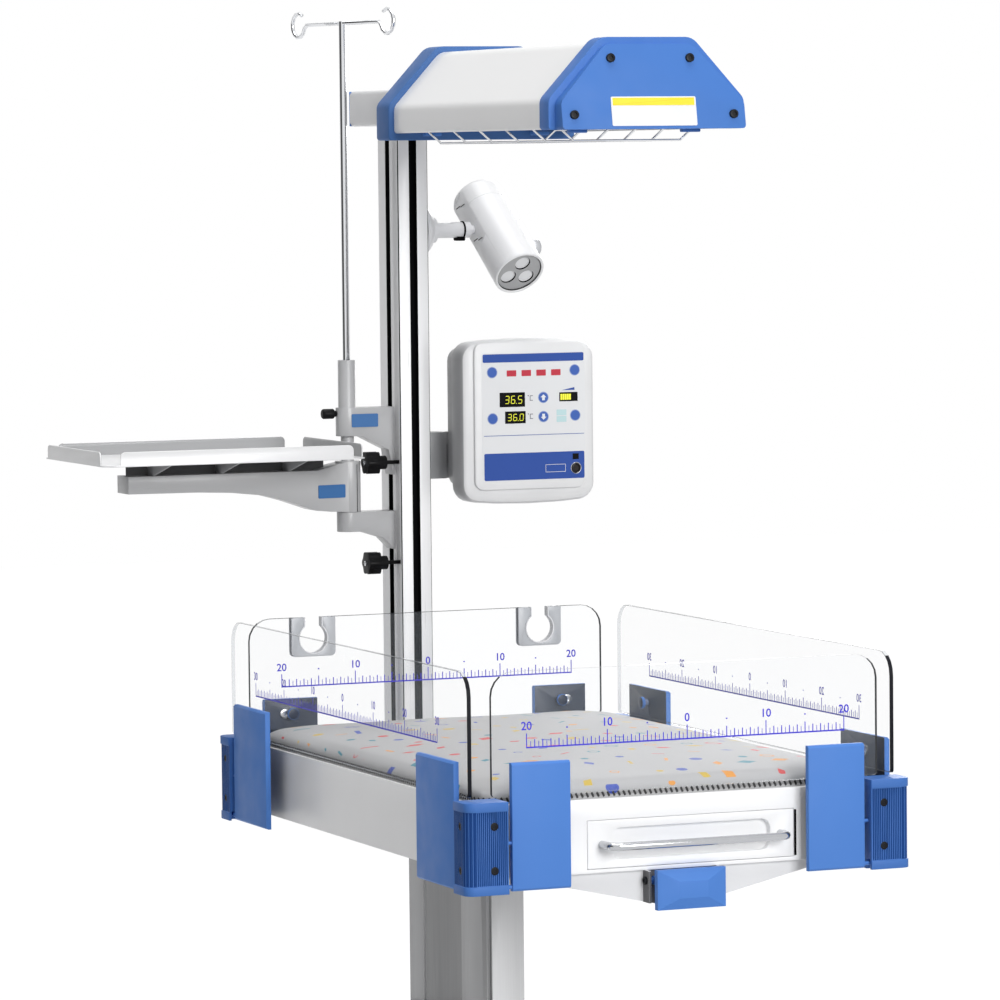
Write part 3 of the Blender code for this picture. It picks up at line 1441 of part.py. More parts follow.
def make_tray_arm():
    """Deep at the pivot and shallow at its end; the points follow the underside as photographed."""
    body_frame("tray", (boss_x, boss_y, tray_boss_high), "lift")
    low = tray_boss_high + touch_gap
    top = arm_top_z
    drop = top - low
    span = tray_arm_end + boss_x
    underside_shares = [(0.0, 0.99), (0.10, 0.97), (0.17, 0.93), (0.29, 0.70), (0.40, 0.535), (0.55,
        0.445), (0.70, 0.41), (1.0, 0.40)]
    under = [(boss_x - span * along, top - drop * deep) for along, deep in underside_shares]
    side = under + [(boss_x - span, top), (boss_x - span * 0.16, top), (boss_x - span * 0.02,
        barrel_high), (boss_x, barrel_high)]
    arm = prism("tray_arm", "Y", side, boss_y - tray_half_depth, boss_y + tray_half_depth)
    wide = tray_half_depth
    neck = barrel_radius * 0.9
    plan = [(boss_x, boss_y - neck), (boss_x, boss_y + neck), (boss_x - span * 0.16,
        boss_y + wide - run_gap),
            (boss_x - span - cut_over, boss_y + wide - run_gap), (boss_x - span - cut_over,
                boss_y - wide + run_gap),
            (boss_x - span * 0.16, boss_y - wide + run_gap)]
    keep(arm, prism("plan", "Z", plan, low - cut_over, barrel_high + cut_over))
    fuse(arm, rod("barrel", "Z", (boss_x, boss_y), barrel_radius, low, barrel_high + run_gap, round_sides))
    cut(arm, rod("bore", "Z", (boss_x, boss_y), pivot_tube_radius + touch_gap, low - cut_over,
                 barrel_high + cut_over, small_sides + 4))
    finish(arm, grey_paint, "tray")


def make_tray():
    left = -tray_left
    right = -tray_right
    high = tray_floor + tray_wall_height
    plan = oblong(left, tray_front_y, right, tray_rear_y, 0)
    corner = tray_corner * 0.7
    outer = []
    for (x, y), (sx, sy) in zip(plan, ((1, 1), (-1, 1), (-1, -1), (1, -1))):
        pair = [(x, y + sy * corner), (x + sx * corner, y)]
        outer += pair if sx == sy else list(reversed(pair))
    tray = prism("tray", "Z", outer, tray_floor, high)
    sheet = tray_sheet
    cut(tray, block("well", (left + sheet, tray_front_y + sheet, tray_floor + sheet),
                    (right - sheet, tray_rear_y - sheet, high + cut_over)))
    rim = tray_floor + sheet
    for x, sx in ((left, 1), (right, -1)):
        for y, sy in ((tray_front_y, 1), (tray_rear_y, -1)):
            xs = sorted((x - sx * cut_over, x + sx * tray_corner))
            ys = sorted((y - sy * cut_over, y + sy * tray_corner))
            cut(tray, block("open_corner", (xs[0], ys[0], rim), (xs[1], ys[1], high + cut_over)))
    foot = arm_top_z + touch_gap
    for share in rib_shares:
        x = left + (right - left) * share
        outline = [(boss_y - tray_half_depth, foot), (boss_y + tray_half_depth, foot),
                   (boss_y + tray_half_depth + rib_reach, tray_floor + sheet / 2),
                   (boss_y - tray_half_depth - rib_reach, tray_floor + sheet / 2)]
        fuse(tray, prism("rib", "X", outline, x - rib_thick / 2, x + rib_thick / 2))
    finish(tray, white_paint, "tray")


# Clamp knobs: lobed heads whose screws bear in the concave waist of the column
knob_set_back = 0.016
knob_y = column_front + knob_set_back
knob_radius = 0.0142
knob_lobe = 0.0012
knob_lobes = 6
knob_points = 36
knob_outer_reach = 0.043
knob_outer = column_side + knob_outer_reach
knob_inner_reach = 0.026
knob_inner = column_side + knob_inner_reach
knob_hub_reach = 0.015
knob_hub_end = column_side + knob_hub_reach
knob_hub_radius = 0.00875
knob_screw_radius = 0.0025
upper_knob_rise = 0.2755
lower_knob_rise = 0.1465
knob_heights = {"upper": line + upper_knob_rise, "lower": line + lower_knob_rise}


def make_clamp_knobs():
    tip = waist_at(knob_y + knob_screw_radius) + touch_gap
    for place, z in knob_heights.items():
        name = "clamp_knob_" + place
        body_frame(name, (-column_side, knob_y, z), "lift")
        outline = []
        for k in range(knob_points):
            turn = 2 * math.pi * k / knob_points
            radius = knob_radius + knob_lobe * math.cos(knob_lobes * turn)
            outline.append((knob_y + radius * math.cos(turn), z + radius * math.sin(turn)))
        knob = prism(name, "X", outline, -knob_outer, -knob_inner)
        fuse(knob, rod("hub", "X", (knob_y, z), knob_hub_radius, -knob_inner - run_gap, -knob_hub_end,
                       small_sides + 4))
        fuse(knob, rod("screw", "X", (knob_y, z), knob_screw_radius, -knob_hub_end - run_gap, -tip))
        finish(knob, black_plastic, name)


def make_column():
    make_upper_column()
    make_head()
    make_lamp()
    make_control_box()
    make_iv_bracket()
    make_iv_pole()
    make_tray_bracket()
    make_tray_arm()
    make_tray()
    make_clamp_knobs()


def centre_on_floor():
    """Moves the whole object so that the middle of its outline lies over the origin."""
    bpy.context.view_layer.update()
    corners = [piece.matrix_world @ vertex.co for piece in bpy.data.objects if piece.type == "MESH"
               for vertex in piece.data.vertices]
    lows = [min(corner[i] for corner in corners) for i in range(3)]
    highs = [max(corner[i] for corner in corners) for i in range(3)]
    frames["base"].location = (-(lows[0] + highs[0]) / 2, -(lows[1] + highs[1]) / 2, -lows[2])
    bpy.context.view_layer.update()


make_column()
centre_on_floor()
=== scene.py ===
import json
import math

import bmesh
import bpy
from mathutils import Matrix, Vector
from mathutils.bvhtree import BVHTree

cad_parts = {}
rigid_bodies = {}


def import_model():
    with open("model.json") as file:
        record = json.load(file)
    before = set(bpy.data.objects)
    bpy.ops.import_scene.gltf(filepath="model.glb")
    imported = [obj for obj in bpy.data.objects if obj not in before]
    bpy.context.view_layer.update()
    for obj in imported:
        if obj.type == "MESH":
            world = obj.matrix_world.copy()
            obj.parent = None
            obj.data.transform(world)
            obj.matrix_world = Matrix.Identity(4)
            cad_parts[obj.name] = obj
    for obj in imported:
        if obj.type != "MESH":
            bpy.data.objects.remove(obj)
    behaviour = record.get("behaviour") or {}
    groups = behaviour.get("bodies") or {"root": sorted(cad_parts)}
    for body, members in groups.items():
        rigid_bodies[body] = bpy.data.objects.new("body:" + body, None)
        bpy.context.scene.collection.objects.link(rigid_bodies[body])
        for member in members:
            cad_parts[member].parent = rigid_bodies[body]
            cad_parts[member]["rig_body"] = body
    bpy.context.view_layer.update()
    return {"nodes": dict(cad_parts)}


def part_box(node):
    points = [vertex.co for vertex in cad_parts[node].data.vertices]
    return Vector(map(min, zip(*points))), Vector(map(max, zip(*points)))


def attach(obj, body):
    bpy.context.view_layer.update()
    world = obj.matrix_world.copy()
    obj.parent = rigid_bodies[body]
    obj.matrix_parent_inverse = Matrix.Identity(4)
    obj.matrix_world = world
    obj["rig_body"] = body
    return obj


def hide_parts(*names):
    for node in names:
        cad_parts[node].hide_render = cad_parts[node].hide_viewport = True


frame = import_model()

# Base frame: two steel rails and a cross box, welded, ground and powder coated white.
# The edges are softly rounded by the coat. The column's outer sleeve is bolted on its middle.
frame_edge = 0.0022
sleeve_edge = 0.0012
coat_white = (0.78, 0.785, 0.80)


def deselect():
    """Object mode, with nothing selected."""
    if bpy.context.object and bpy.context.object.mode != "OBJECT":
        bpy.ops.object.mode_set(mode="OBJECT")
    bpy.ops.object.select_all(action="DESELECT")


def pick(piece):
    """Makes one object the only selected and active one."""
    deselect()
    piece.select_set(True)
    bpy.context.view_layer.objects.active = piece
    return piece


def smooth(piece, degrees=35):
    pick(piece)
    bpy.ops.object.shade_smooth_by_angle(angle=math.radians(degrees))
    return piece


def dress(piece, *materials):
    piece.data.materials.clear()
    for made in materials:
        piece.data.materials.append(made)
    return piece


def placed(name, data):
    """A new object of a mesh, lamp or camera, put in the scene."""
    thing = bpy.data.objects.new(name, data)
    bpy.context.scene.collection.objects.link(thing)
    return thing


def apply_to(piece, modifier):
    pick(piece)
    bpy.ops.object.modifier_apply(modifier=modifier)


def ease(piece, width, steps=2, degrees=30):
    """Rounds a piece's sharp edges with a bevel and smooths what is round."""
    edge = piece.modifiers.new("edge", "BEVEL")
    edge.width = width
    edge.segments = steps
    edge.limit_method = "ANGLE"
    edge.angle_limit = math.radians(degrees)
    edge.use_clamp_overlap = True
    apply_to(piece, "edge")
    return smooth(piece, degrees)


def bare_copy(node, name):
    """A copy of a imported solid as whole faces, with its doubles merged."""
    piece = placed(name, frame["nodes"][node].data.copy())
    pick(piece)
    bpy.ops.object.mode_set(mode="EDIT")
    bpy.ops.mesh.select_all(action="SELECT")
    bpy.ops.mesh.remove_doubles(threshold=0.00002)
    bpy.ops.mesh.dissolve_limited(angle_limit=math.radians(0.5))
    bpy.ops.object.mode_set(mode="OBJECT")
    return piece


def stands_for(piece, *nodes):
    """The piece is shown for these nodes and rides on their body."""
    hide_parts(*nodes)
    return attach(piece, frame["nodes"][nodes[0]]["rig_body"])


def eased(node, width, material, steps=2, degrees=30):
    """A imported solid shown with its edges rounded."""
    piece = dress(bare_copy(node, node + "_eased"), material)
    if width:
        ease(piece, width, steps, degrees)
    else:
        smooth(piece, degrees)
    return stands_for(piece, node)


def shader_of(made):
    return made.node_tree.nodes["Principled BSDF"]


def new_finish(name, colour, rough, metal=0.0):
    """A material with its shader, and the object's own coordinates for its patterns."""
    made = bpy.data.materials.new(name)
    made.use_nodes = True
    shader = shader_of(made)
    shader.inputs["Base Color"].default_value = (*colour, 1)
    shader.inputs["Roughness"].default_value = rough
    shader.inputs["Metallic"].default_value = metal
    return made


def node_in(made, kind, **inputs):
    node = made.node_tree.nodes.new("ShaderNode" + kind)
    for name, value in inputs.items():
        node.inputs[name.replace("_", " ")].default_value = value
    return node


def wire(made, start, end):
    made.node_tree.links.new(start, end)


def object_place(made, scale=(1, 1, 1)):
    where = node_in(made, "TexCoord")
    mapping = node_in(made, "Mapping", Scale=scale)
    wire(made, where.outputs["Object"], mapping.inputs["Vector"])
    return mapping.outputs["Vector"]


def mottle(made, place, colour, spread, size, detail=3.0):
    """A base colour that varies a little in soft patches."""
    noise = node_in(made, "TexNoise", Scale=size, Detail=detail)
    wire(made, place, noise.inputs["Vector"])
    ramp = made.node_tree.nodes.new("ShaderNodeValToRGB")
    ramp.color_ramp.elements[0].position = 0.3
    ramp.color_ramp.elements[1].position = 0.7
    ramp.color_ramp.elements[0].color = (*[c * (1 - spread) for c in colour], 1)
    ramp.color_ramp.elements[1].color = (*[min(1, c * (1 + spread)) for c in colour], 1)
    wire(made, noise.outputs["Fac"], ramp.inputs["Fac"])
    wire(made, ramp.outputs["Color"], shader_of(made).inputs["Base Color"])
    return ramp


def vary_rough(made, place, low, high, size):
    """A roughness that wanders between two values, as handling leaves it."""
    noise = node_in(made, "TexNoise", Scale=size, Detail=4.0)
    spread = node_in(made, "MapRange", From_Min=0.3, From_Max=0.7, To_Min=low, To_Max=high)
    wire(made, place, noise.inputs["Vector"])
    wire(made, noise.outputs["Fac"], spread.inputs["Value"])
    wire(made, spread.outputs["Result"], shader_of(made).inputs["Roughness"])


def skin(made, place, size, strength, depth=0.0002, detail=2.0):
    """A fine relief, such as a coat's orange peel or a mould's grain."""
    noise = node_in(made, "TexNoise", Scale=size, Detail=detail)
    bump = node_in(made, "Bump", Strength=strength, Distance=depth)
    wire(made, place, noise.inputs["Vector"])
    wire(made, noise.outputs["Fac"], bump.inputs["Height"])
    wire(made, bump.outputs["Normal"], shader_of(made).inputs["Normal"])


def coat(name, colour, rough=0.34, peel=0.07):
    """Powder coat: even colour, a slight orange peel and a soft gloss."""
    made = new_finish(name, colour, rough)
    place = object_place(made)
    mottle(made, place, colour, 0.008, 9)
    vary_rough(made, place, rough - 0.05, rough + 0.07, 26)
    skin(made, place, 650, peel)
    shader_of(made).inputs["Coat Weight"].default_value = 0.10
    return made


white_coat = coat("white_powder_coat", coat_white)
eased("base_frame", frame_edge, white_coat)
eased("base_column", sleeve_edge, white_coat)

# Screws: socket cap screws, blackened or bright, wherever two pieces are held together.
# Each is a turned head with an eased rim and a round socket sunk in it.
screw_rim_share = 0.12
screw_socket_share = 0.34
screw_bevel_share = 0.03
screw_socket_depth_share = 0.55
screw_black = (0.008, 0.009, 0.012)
screw_bright = (0.62, 0.63, 0.65)
sleeve_screw = 0.0042, 0.004
sleeve_screw_rows = (-0.9, -0.3, 0.3, 0.9)
sleeve_screw_shares = 0.43, 0.46
stand_off = 0.05


def metal(name, colour, rough, streak=(1, 1, 1), spread=0.04, size=60, strength=0.05):
    """Bare metal with a fine drawn or brushed grain along one direction."""
    made = new_finish(name, colour, rough, 1.0)
    place = object_place(made, streak)
    mottle(made, place, colour, spread, size, 5.0)
    vary_rough(made, place, rough * 0.8, rough * 1.25, size)
    skin(made, place, size * 2, strength, 0.00005)
    return made


def moulding(name, colour, rough=0.4, grain=1500, strength=0.1, spread=0.03, gloss=0.5):
    """Moulded plastic: a fine mould grain and a colour that shifts slightly."""
    made = new_finish(name, colour, rough)
    shader_of(made).inputs["Specular IOR Level"].default_value = gloss
    place = object_place(made)
    mottle(made, place, colour, spread, 14)
    vary_rough(made, place, rough - 0.06, rough + 0.08, 40)
    skin(made, place, grain, strength, 0.00008)
    return made


black_screw = moulding("blackened_screw", screw_black, 0.35, 3000, 0.05, gloss=0.15)
bright_screw = metal("bright_screw", screw_bright, 0.22)


def model_screw(radius, height):
    """One screw head at the origin, its face towards +Z."""
    deselect()
    bpy.ops.mesh.primitive_cylinder_add(vertices=24, radius=radius, depth=height, location=(0, 0, height / 2))
    head = bpy.context.object
    head_mesh = bmesh.new()
    head_mesh.from_mesh(head.data)
    for face in head_mesh.faces:
        face.select = face.normal.z > 0.9
    head_mesh.to_mesh(head.data)
    head_mesh.free()
    bpy.ops.object.mode_set(mode="EDIT")
    bpy.ops.mesh.inset(thickness=radius * screw_rim_share)
    bpy.ops.transform.translate(value=(0, 0, height * screw_rim_share))
    bpy.ops.mesh.inset(thickness=radius * screw_socket_share)
    bpy.ops.mesh.inset(thickness=radius * screw_bevel_share)
    bpy.ops.transform.translate(value=(0, 0, -height * screw_socket_depth_share))
    bpy.ops.mesh.select_all(action="DESELECT")
    bpy.ops.object.mode_set(mode="OBJECT")
    head.data.transform(head.matrix_world)
    head.matrix_world = Matrix.Identity(4)
    return smooth(head, 30)


def turned_to(point, normal):
    """The matrix that stands a piece's +Z on a point along a normal."""
    return Matrix.Translation(point) @ Vector(normal).to_track_quat("Z", "Y").to_matrix().to_4x4()


def set_screws(name, places, radius, height, material, body):
    """Copies of one screw at several places, joined into one piece."""
    copies = []
    first = model_screw(radius, height)
    for point, normal in places:
        copy = placed(name, first.data.copy())
        copy.data.transform(turned_to(point, normal))
        copies.append(copy)
    bpy.data.objects.remove(first)
    return joined(name, copies, material, body)


def joined(name, parts, material, body):
    """Several loose parts made one piece that rides on a body."""
    deselect()
    for part in parts:
        part.select_set(True)
    bpy.context.view_layer.objects.active = parts[0]
    if len(parts) > 1:
        bpy.ops.object.join()
    whole = bpy.context.view_layer.objects.active
    whole.name = name
    whole.data.name = name
    if material:
        dress(whole, material)
    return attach(whole, body)


def face_point(node, start, heading):
    """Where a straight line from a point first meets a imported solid, and the normal there."""
    solid = frame["nodes"][node].data
    shape = BVHTree.FromPolygons([v.co for v in solid.vertices], [tuple(p.vertices) for p in solid.polygons])
    point, normal, _, _ = shape.ray_cast(Vector(start), Vector(heading).normalized())
    if point is None:
        raise ValueError(f"nothing of {node} lies that way from {tuple(start)}")
    return point, normal


low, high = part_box("base_column")
middle = (low + high) / 2
foot_places = []
for way_x in (-1, 1):
    for way_y in sleeve_screw_rows:
        x = middle.x + way_x * (high.x - low.x) * sleeve_screw_shares[0]
        y = middle.y + way_y * (high.y - low.y) * sleeve_screw_shares[1]
        foot_places.append(face_point("base_column", (x, y, high.z + 2 * stand_off), (0, 0, -1)))
set_screws("sleeve_screws", foot_places, *sleeve_screw, bright_screw, "base")

# Castors: a pressed steel fork on a swivel head, and a wheel with a grey tread on a pale hub.
# The tread is moulded round the hub with shallow grooves, and the axle bolt goes through both.
tread_grey = (0.17, 0.17, 0.18)
hub_grey = (0.60, 0.61, 0.63)
fork_grey = (0.60, 0.61, 0.63)
pedal_blue = (0.10, 0.25, 0.62)
tread_steps = 64
hub_share = 0.74
hub_fit = 0.0002
tread_shares = ((hub_share, 0.80), (0.93, 0.80), (0.98, 0.62), (1.0, 0.40), (1.0, 0.10), (0.985, 0.06))
hub_shares = ((0.112, 1.0), (0.24, 1.0), (0.27, 0.88), (0.30, 0.5), (0.60, 0.5), (0.66, 0.86))
axle_bolt = 0.0062, 0.003


def rubber(name, colour):
    made = new_finish(name, colour, 0.75)
    place = object_place(made)
    mottle(made, place, colour, 0.10, 45)
    skin(made, place, 1800, 0.3, 0.0001)
    return made


def revolve(name, outline, steps, centre, axis):
    """A closed outline of (radius, along) points spun about an axis through a centre."""
    mesh = bpy.data.meshes.new(name)
    mesh.from_pydata([(r, 0, a) for r, a in outline], [(k, k + 1) for k in range(len(outline) - 1)], [])
    piece = placed(name, mesh)
    pick(piece)
    bpy.ops.object.mode_set(mode="EDIT")
    bpy.ops.mesh.select_all(action="SELECT")
    bpy.ops.mesh.spin(steps=steps, angle=2 * math.pi, center=(0, 0, 0), axis=(0, 0, 1), use_auto_merge=True)
    bpy.ops.mesh.select_all(action="SELECT")
    bpy.ops.mesh.remove_doubles(threshold=0.00001)
    bpy.ops.mesh.normals_make_consistent(inside=False)
    bpy.ops.object.mode_set(mode="OBJECT")
    mesh.transform(turned_to(centre, axis))
    return piece


def both_sides(near):
    """One side's outline carried over to the other side and closed."""
    return near + [(reach, -along) for reach, along in reversed(near)] + near[:1]


fork_steel = metal("fork_steel", fork_grey, 0.32, (1, 1, 6))
tread_rubber = rubber("tread_rubber", tread_grey)
hub_plastic = moulding("hub_plastic", hub_grey, 0.45)
pedal_plastic = moulding("pedal_plastic", pedal_blue, 0.42)
for corner in ("front_left", "front_right", "rear_left", "rear_right"):
    eased("castor_fork_" + corner, 0.0008, fork_steel)
    low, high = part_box("castor_wheel_" + corner)
    centre = (low + high) / 2
    half = (high.x - low.x) / 2
    radius = (high.z - low.z) / 2
    tread = both_sides([(radius * reach, -half * along) for reach, along in tread_shares])
    tyre = revolve("castor_tread_" + corner, tread, tread_steps, centre, (1, 0, 0))
    smooth(dress(tyre, tread_rubber))
    stands_for(tyre, "castor_wheel_" + corner)
    rim = (radius * hub_share - hub_fit, -half * hub_shares[-1][1])
    hub = both_sides([(radius * reach, -half * along) for reach, along in hub_shares] + [rim])
    wheel_hub = revolve("castor_hub_" + corner, hub, tread_steps, centre, (1, 0, 0))
    smooth(dress(wheel_hub, hub_plastic))
    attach(wheel_hub, "wheel_" + corner)
    low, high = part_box("castor_fork_" + corner)
    axle = []
    for x, way in ((low.x, Vector((-1, 0, 0))), (high.x, Vector((1, 0, 0)))):
        hit, _ = face_point("castor_fork_" + corner, Vector((x, centre.y, centre.z)) + way * stand_off, -way)
        axle.append((hit, way))
    set_screws("axle_bolts_" + corner, axle, *axle_bolt, bright_screw, "castor_" + corner)
    if corner.startswith("front"):
        eased("castor_brake_" + corner, 0.0007, pedal_plastic)

# Lift column: a satin grey extrusion that slides in the sleeve, with the yoke plate on top.
# The die leaves fine vertical lines. Its side faces are painted a darker grey and its side recesses darker
# still: painted shade.
lift_greys = {"satin_column": (0.68, 0.683, 0.69), "satin_side_painted_shade": (0.38, 0.383, 0.39),
              "satin_recess_painted_shade": (0.24, 0.242, 0.247)}
satin_sheen = 0.25
lift_half = 0.0215
lift_skin = 0.0015
lift_slack = 0.001
yoke_zone = 0.10
satin = []
for name, grey in lift_greys.items():
    satin.append(metal(name, grey, 0.42, (1, 1, 0.02), 0.03, 420, 0.05))
    shader_of(satin[-1]).inputs["Metallic"].default_value = satin_sheen
lift_mast = eased("lift_column", 0.0006, satin[0])
lift_mast.data.materials.append(satin[1])
lift_mast.data.materials.append(satin[2])
lift_low, lift_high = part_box("lift_column")
lift_middle = (lift_low.x + lift_high.x) / 2
# Side faces below the yoke get the painted shade grey, and faces in the recesses the darker painted shade.
for face in lift_mast.data.polygons:
    off = abs(face.center.x - lift_middle)
    below_yoke = face.center.z < lift_high.z - yoke_zone and off < lift_half + lift_slack
    if below_yoke and abs(face.normal.z) < 0.3 and abs(face.normal.x) > 0.7:
        face.material_index = 1 if off > lift_half - lift_skin else 2

# Bed frame: folded and welded steel, white, with a sunk deck for the mattress.
# Its ears hold the tilt shaft, and the two drawer runners hang under the deck.
bed_edge = 0.0018
bed_white = (0.94, 0.943, 0.948)
bed_coat = coat("bed_coat", bed_white)
eased("bed_frame", bed_edge, bed_coat)
bed_low, bed_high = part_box("bed_frame")

# Mattress: a soft foam pad in a pale grey wipe-clean cover with a small scattered print.
# The cover's two halves meet in a zip round its lower edge, and the foam fills it to a low crown.
pad_voxel = 0.006
pad_swell_cap = 0.0035
pad_pressure = 1.2
pad_frames = 14
pad_start_inset = 0.0035
cover_grey = (0.45, 0.45, 0.455)
print_cell = 0.047
print_colours = ((0.62, 0.03, 0.03), (0.01, 0.22, 0.30), (0.75, 0.30, 0.02), (0.02, 0.06, 0.42),
                 (0.60, 0.42, 0.03))
motif_shrink = 0.76, 0.9
dot_reach = 0.15
ring_wide = 0.030
bar_reach, bar_slim = 0.24, 4.5
kite_reach, kite_slope = 0.28, 1.7
ring_from, bar_from, kite_from = 0.30, 0.44, 0.66
ink_share = 0.97
weave_scale = 520.0
pad_rest = 0.0002
pad_flatten = 0.955
crown_zone = 0.012
crown_dip = 0.0006
crown_waves = 31, 23, 1.3


def math_node(made, kind, first, second=None):
    node = made.node_tree.nodes.new("ShaderNodeMath")
    node.operation = kind
    for socket, value in zip(node.inputs, (first, second)):
        if value is None:
            continue
        if isinstance(value, (int, float)):
            socket.default_value = value
        else:
            wire(made, value, socket)
    return node.outputs["Value"]


def soft_step(made, value, edge, width):
    """1 below an edge, 0 above it, with a narrow ramp between."""
    node = node_in(made, "MapRange", From_Min=edge - width, From_Max=edge + width, To_Min=1.0, To_Max=0.0)
    wire(made, value, node.inputs["Value"])
    return node.outputs["Result"]


def layer(made, under, over, share):
    """One colour laid over another by a share."""
    mix = made.node_tree.nodes.new("ShaderNodeMix")
    mix.data_type = "RGBA"
    for socket, value in ((mix.inputs[0], share), (mix.inputs[6], under), (mix.inputs[7], over)):
        if isinstance(value, tuple):
            socket.default_value = value
        elif isinstance(value, (int, float)):
            socket.default_value = value
        else:
            wire(made, value, socket)
    return mix.outputs[2]


def printed_cover(name):
    """A fine plain weave with small dots, rings, bars and darts, one to a cell, turned by chance."""
    made = new_finish(name, cover_grey, 0.62)
    shader = shader_of(made)
    laid = node_in(made, "UVMap")
    cells = node_in(made, "Mapping", Scale=(1 / print_cell, 1 / print_cell, 1))
    wire(made, laid.outputs["UV"], cells.inputs["Vector"])
    chance = node_in(made, "TexVoronoi", Scale=1.0, Randomness=0.72)
    chance.voronoi_dimensions = "2D"
    chance.feature = "F1"
    wire(made, cells.outputs["Vector"], chance.inputs["Vector"])
    away = made.node_tree.nodes.new("ShaderNodeVectorMath")
    away.operation = "SUBTRACT"
    wire(made, cells.outputs["Vector"], away.inputs[0])
    wire(made, chance.outputs["Position"], away.inputs[1])
    draw = node_in(made, "SeparateColor")
    wire(made, chance.outputs["Color"], draw.inputs["Color"])
    turn = made.node_tree.nodes.new("ShaderNodeVectorRotate")
    turn.rotation_type = "Z_AXIS"
    wire(made, away.outputs["Vector"], turn.inputs["Vector"])
    wire(made, math_node(made, "MULTIPLY", draw.outputs["Red"], 2 * math.pi), turn.inputs["Angle"])
    axes = node_in(made, "SeparateXYZ")
    wire(made, turn.outputs["Vector"], axes.inputs["Vector"])
    spread = math_node(made, "MULTIPLY", draw.outputs["Red"], motif_shrink[1])
    shrink = math_node(made, "ADD", spread, motif_shrink[0])
    across = math_node(made, "MULTIPLY", math_node(made, "ABSOLUTE", axes.outputs["X"]), shrink)
    along = math_node(made, "MULTIPLY", math_node(made, "ABSOLUTE", axes.outputs["Y"]), shrink)
    radial = math_node(made, "SQRT", math_node(made, "ADD", math_node(made, "MULTIPLY", across, across),
                                               math_node(made, "MULTIPLY", along, along)))
    dot = soft_step(made, radial, dot_reach, 0.008)
    off_ring = math_node(made, "ABSOLUTE", math_node(made, "SUBTRACT", radial, dot_reach))
    ring = soft_step(made, off_ring, ring_wide, 0.006)
    slimmed = math_node(made, "MULTIPLY", across, bar_slim)
    bar = soft_step(made, math_node(made, "MAXIMUM", slimmed, along), bar_reach, 0.008)
    slope = math_node(made, "ADD", math_node(made, "MULTIPLY", across, kite_slope), along)
    kite = soft_step(made, slope, kite_reach, 0.010)
    motif = dot
    for shape, start in ((ring, ring_from), (bar, bar_from), (kite, kite_from)):
        chosen = math_node(made, "GREATER_THAN", draw.outputs["Green"], start)
        keep = math_node(made, "MULTIPLY", motif, math_node(made, "SUBTRACT", 1.0, chosen))
        motif = math_node(made, "ADD", keep, math_node(made, "MULTIPLY", shape, chosen))
    inks = made.node_tree.nodes.new("ShaderNodeValToRGB")
    inks.color_ramp.interpolation = "CONSTANT"
    for k, ink in enumerate(print_colours):
        stop = inks.color_ramp.elements[k] if k < 2 else inks.color_ramp.elements.new(k / len(print_colours))
        stop.position = k / len(print_colours)
        stop.color = (*ink, 1)
    wire(made, draw.outputs["Blue"], inks.inputs["Fac"])
    soft = node_in(made, "TexNoise", Scale=30.0, Detail=3.0)
    wire(made, laid.outputs["UV"], soft.inputs["Vector"])
    ground = made.node_tree.nodes.new("ShaderNodeValToRGB")
    ground.color_ramp.elements[0].color = (*[c * 0.965 for c in cover_grey], 1)
    ground.color_ramp.elements[1].color = (*[c * 1.03 for c in cover_grey], 1)
    wire(made, soft.outputs["Fac"], ground.inputs["Fac"])
    faded = math_node(made, "MULTIPLY", motif, ink_share)
    printed = layer(made, ground.outputs["Color"], inks.outputs["Color"], faded)
    wire(made, printed, shader.inputs["Base Color"])
    weave_x = node_in(made, "TexWave", Scale=weave_scale, Distortion=0.4, Detail=1.0)
    weave_y = node_in(made, "TexWave", Scale=weave_scale, Distortion=0.4, Detail=1.0)
    weave_x.bands_direction = "X"
    weave_y.bands_direction = "Y"
    wire(made, laid.outputs["UV"], weave_x.inputs["Vector"])
    wire(made, laid.outputs["UV"], weave_y.inputs["Vector"])
    threads = math_node(made, "MULTIPLY", weave_x.outputs["Fac"], weave_y.outputs["Fac"])
    creases = node_in(made, "TexNoise", Scale=7.0, Detail=4.0)
    wire(made, laid.outputs["UV"], creases.inputs["Vector"])
    relief = math_node(made, "ADD", math_node(made, "MULTIPLY", threads, 0.10), creases.outputs["Fac"])
    bump = node_in(made, "Bump", Strength=0.35, Distance=0.0018)
    wire(made, relief, bump.inputs["Height"])
    wire(made, bump.outputs["Normal"], shader.inputs["Normal"])
    shader.inputs["Sheen Weight"].default_value = 0.12
    return made


def fill_pad(piece):
    """Foam pressed into its cover: a short cloth run under pressure, each point's travel capped."""
    start = [v.co.copy() for v in piece.data.vertices]
    cloth = piece.modifiers.new("fill", "CLOTH")
    cloth.settings.quality = 4
    cloth.settings.use_pressure = True
    cloth.settings.uniform_pressure_force = pad_pressure
    cloth.settings.tension_stiffness = 60
    cloth.settings.compression_stiffness = 60
    cloth.settings.bending_stiffness = 6
    cloth.settings.mass = 0.3
    cloth.settings.effector_weights.gravity = 0
    cloth.point_cache.frame_end = pad_frames
    for step in range(1, pad_frames + 1):
        bpy.context.scene.frame_set(step)
    apply_to(piece, "fill")
    bpy.context.scene.frame_set(1)
    for vertex, old in zip(piece.data.vertices, start):
        moved = vertex.co - old
        if moved.length > pad_swell_cap:
            vertex.co = old + moved.normalized() * pad_swell_cap


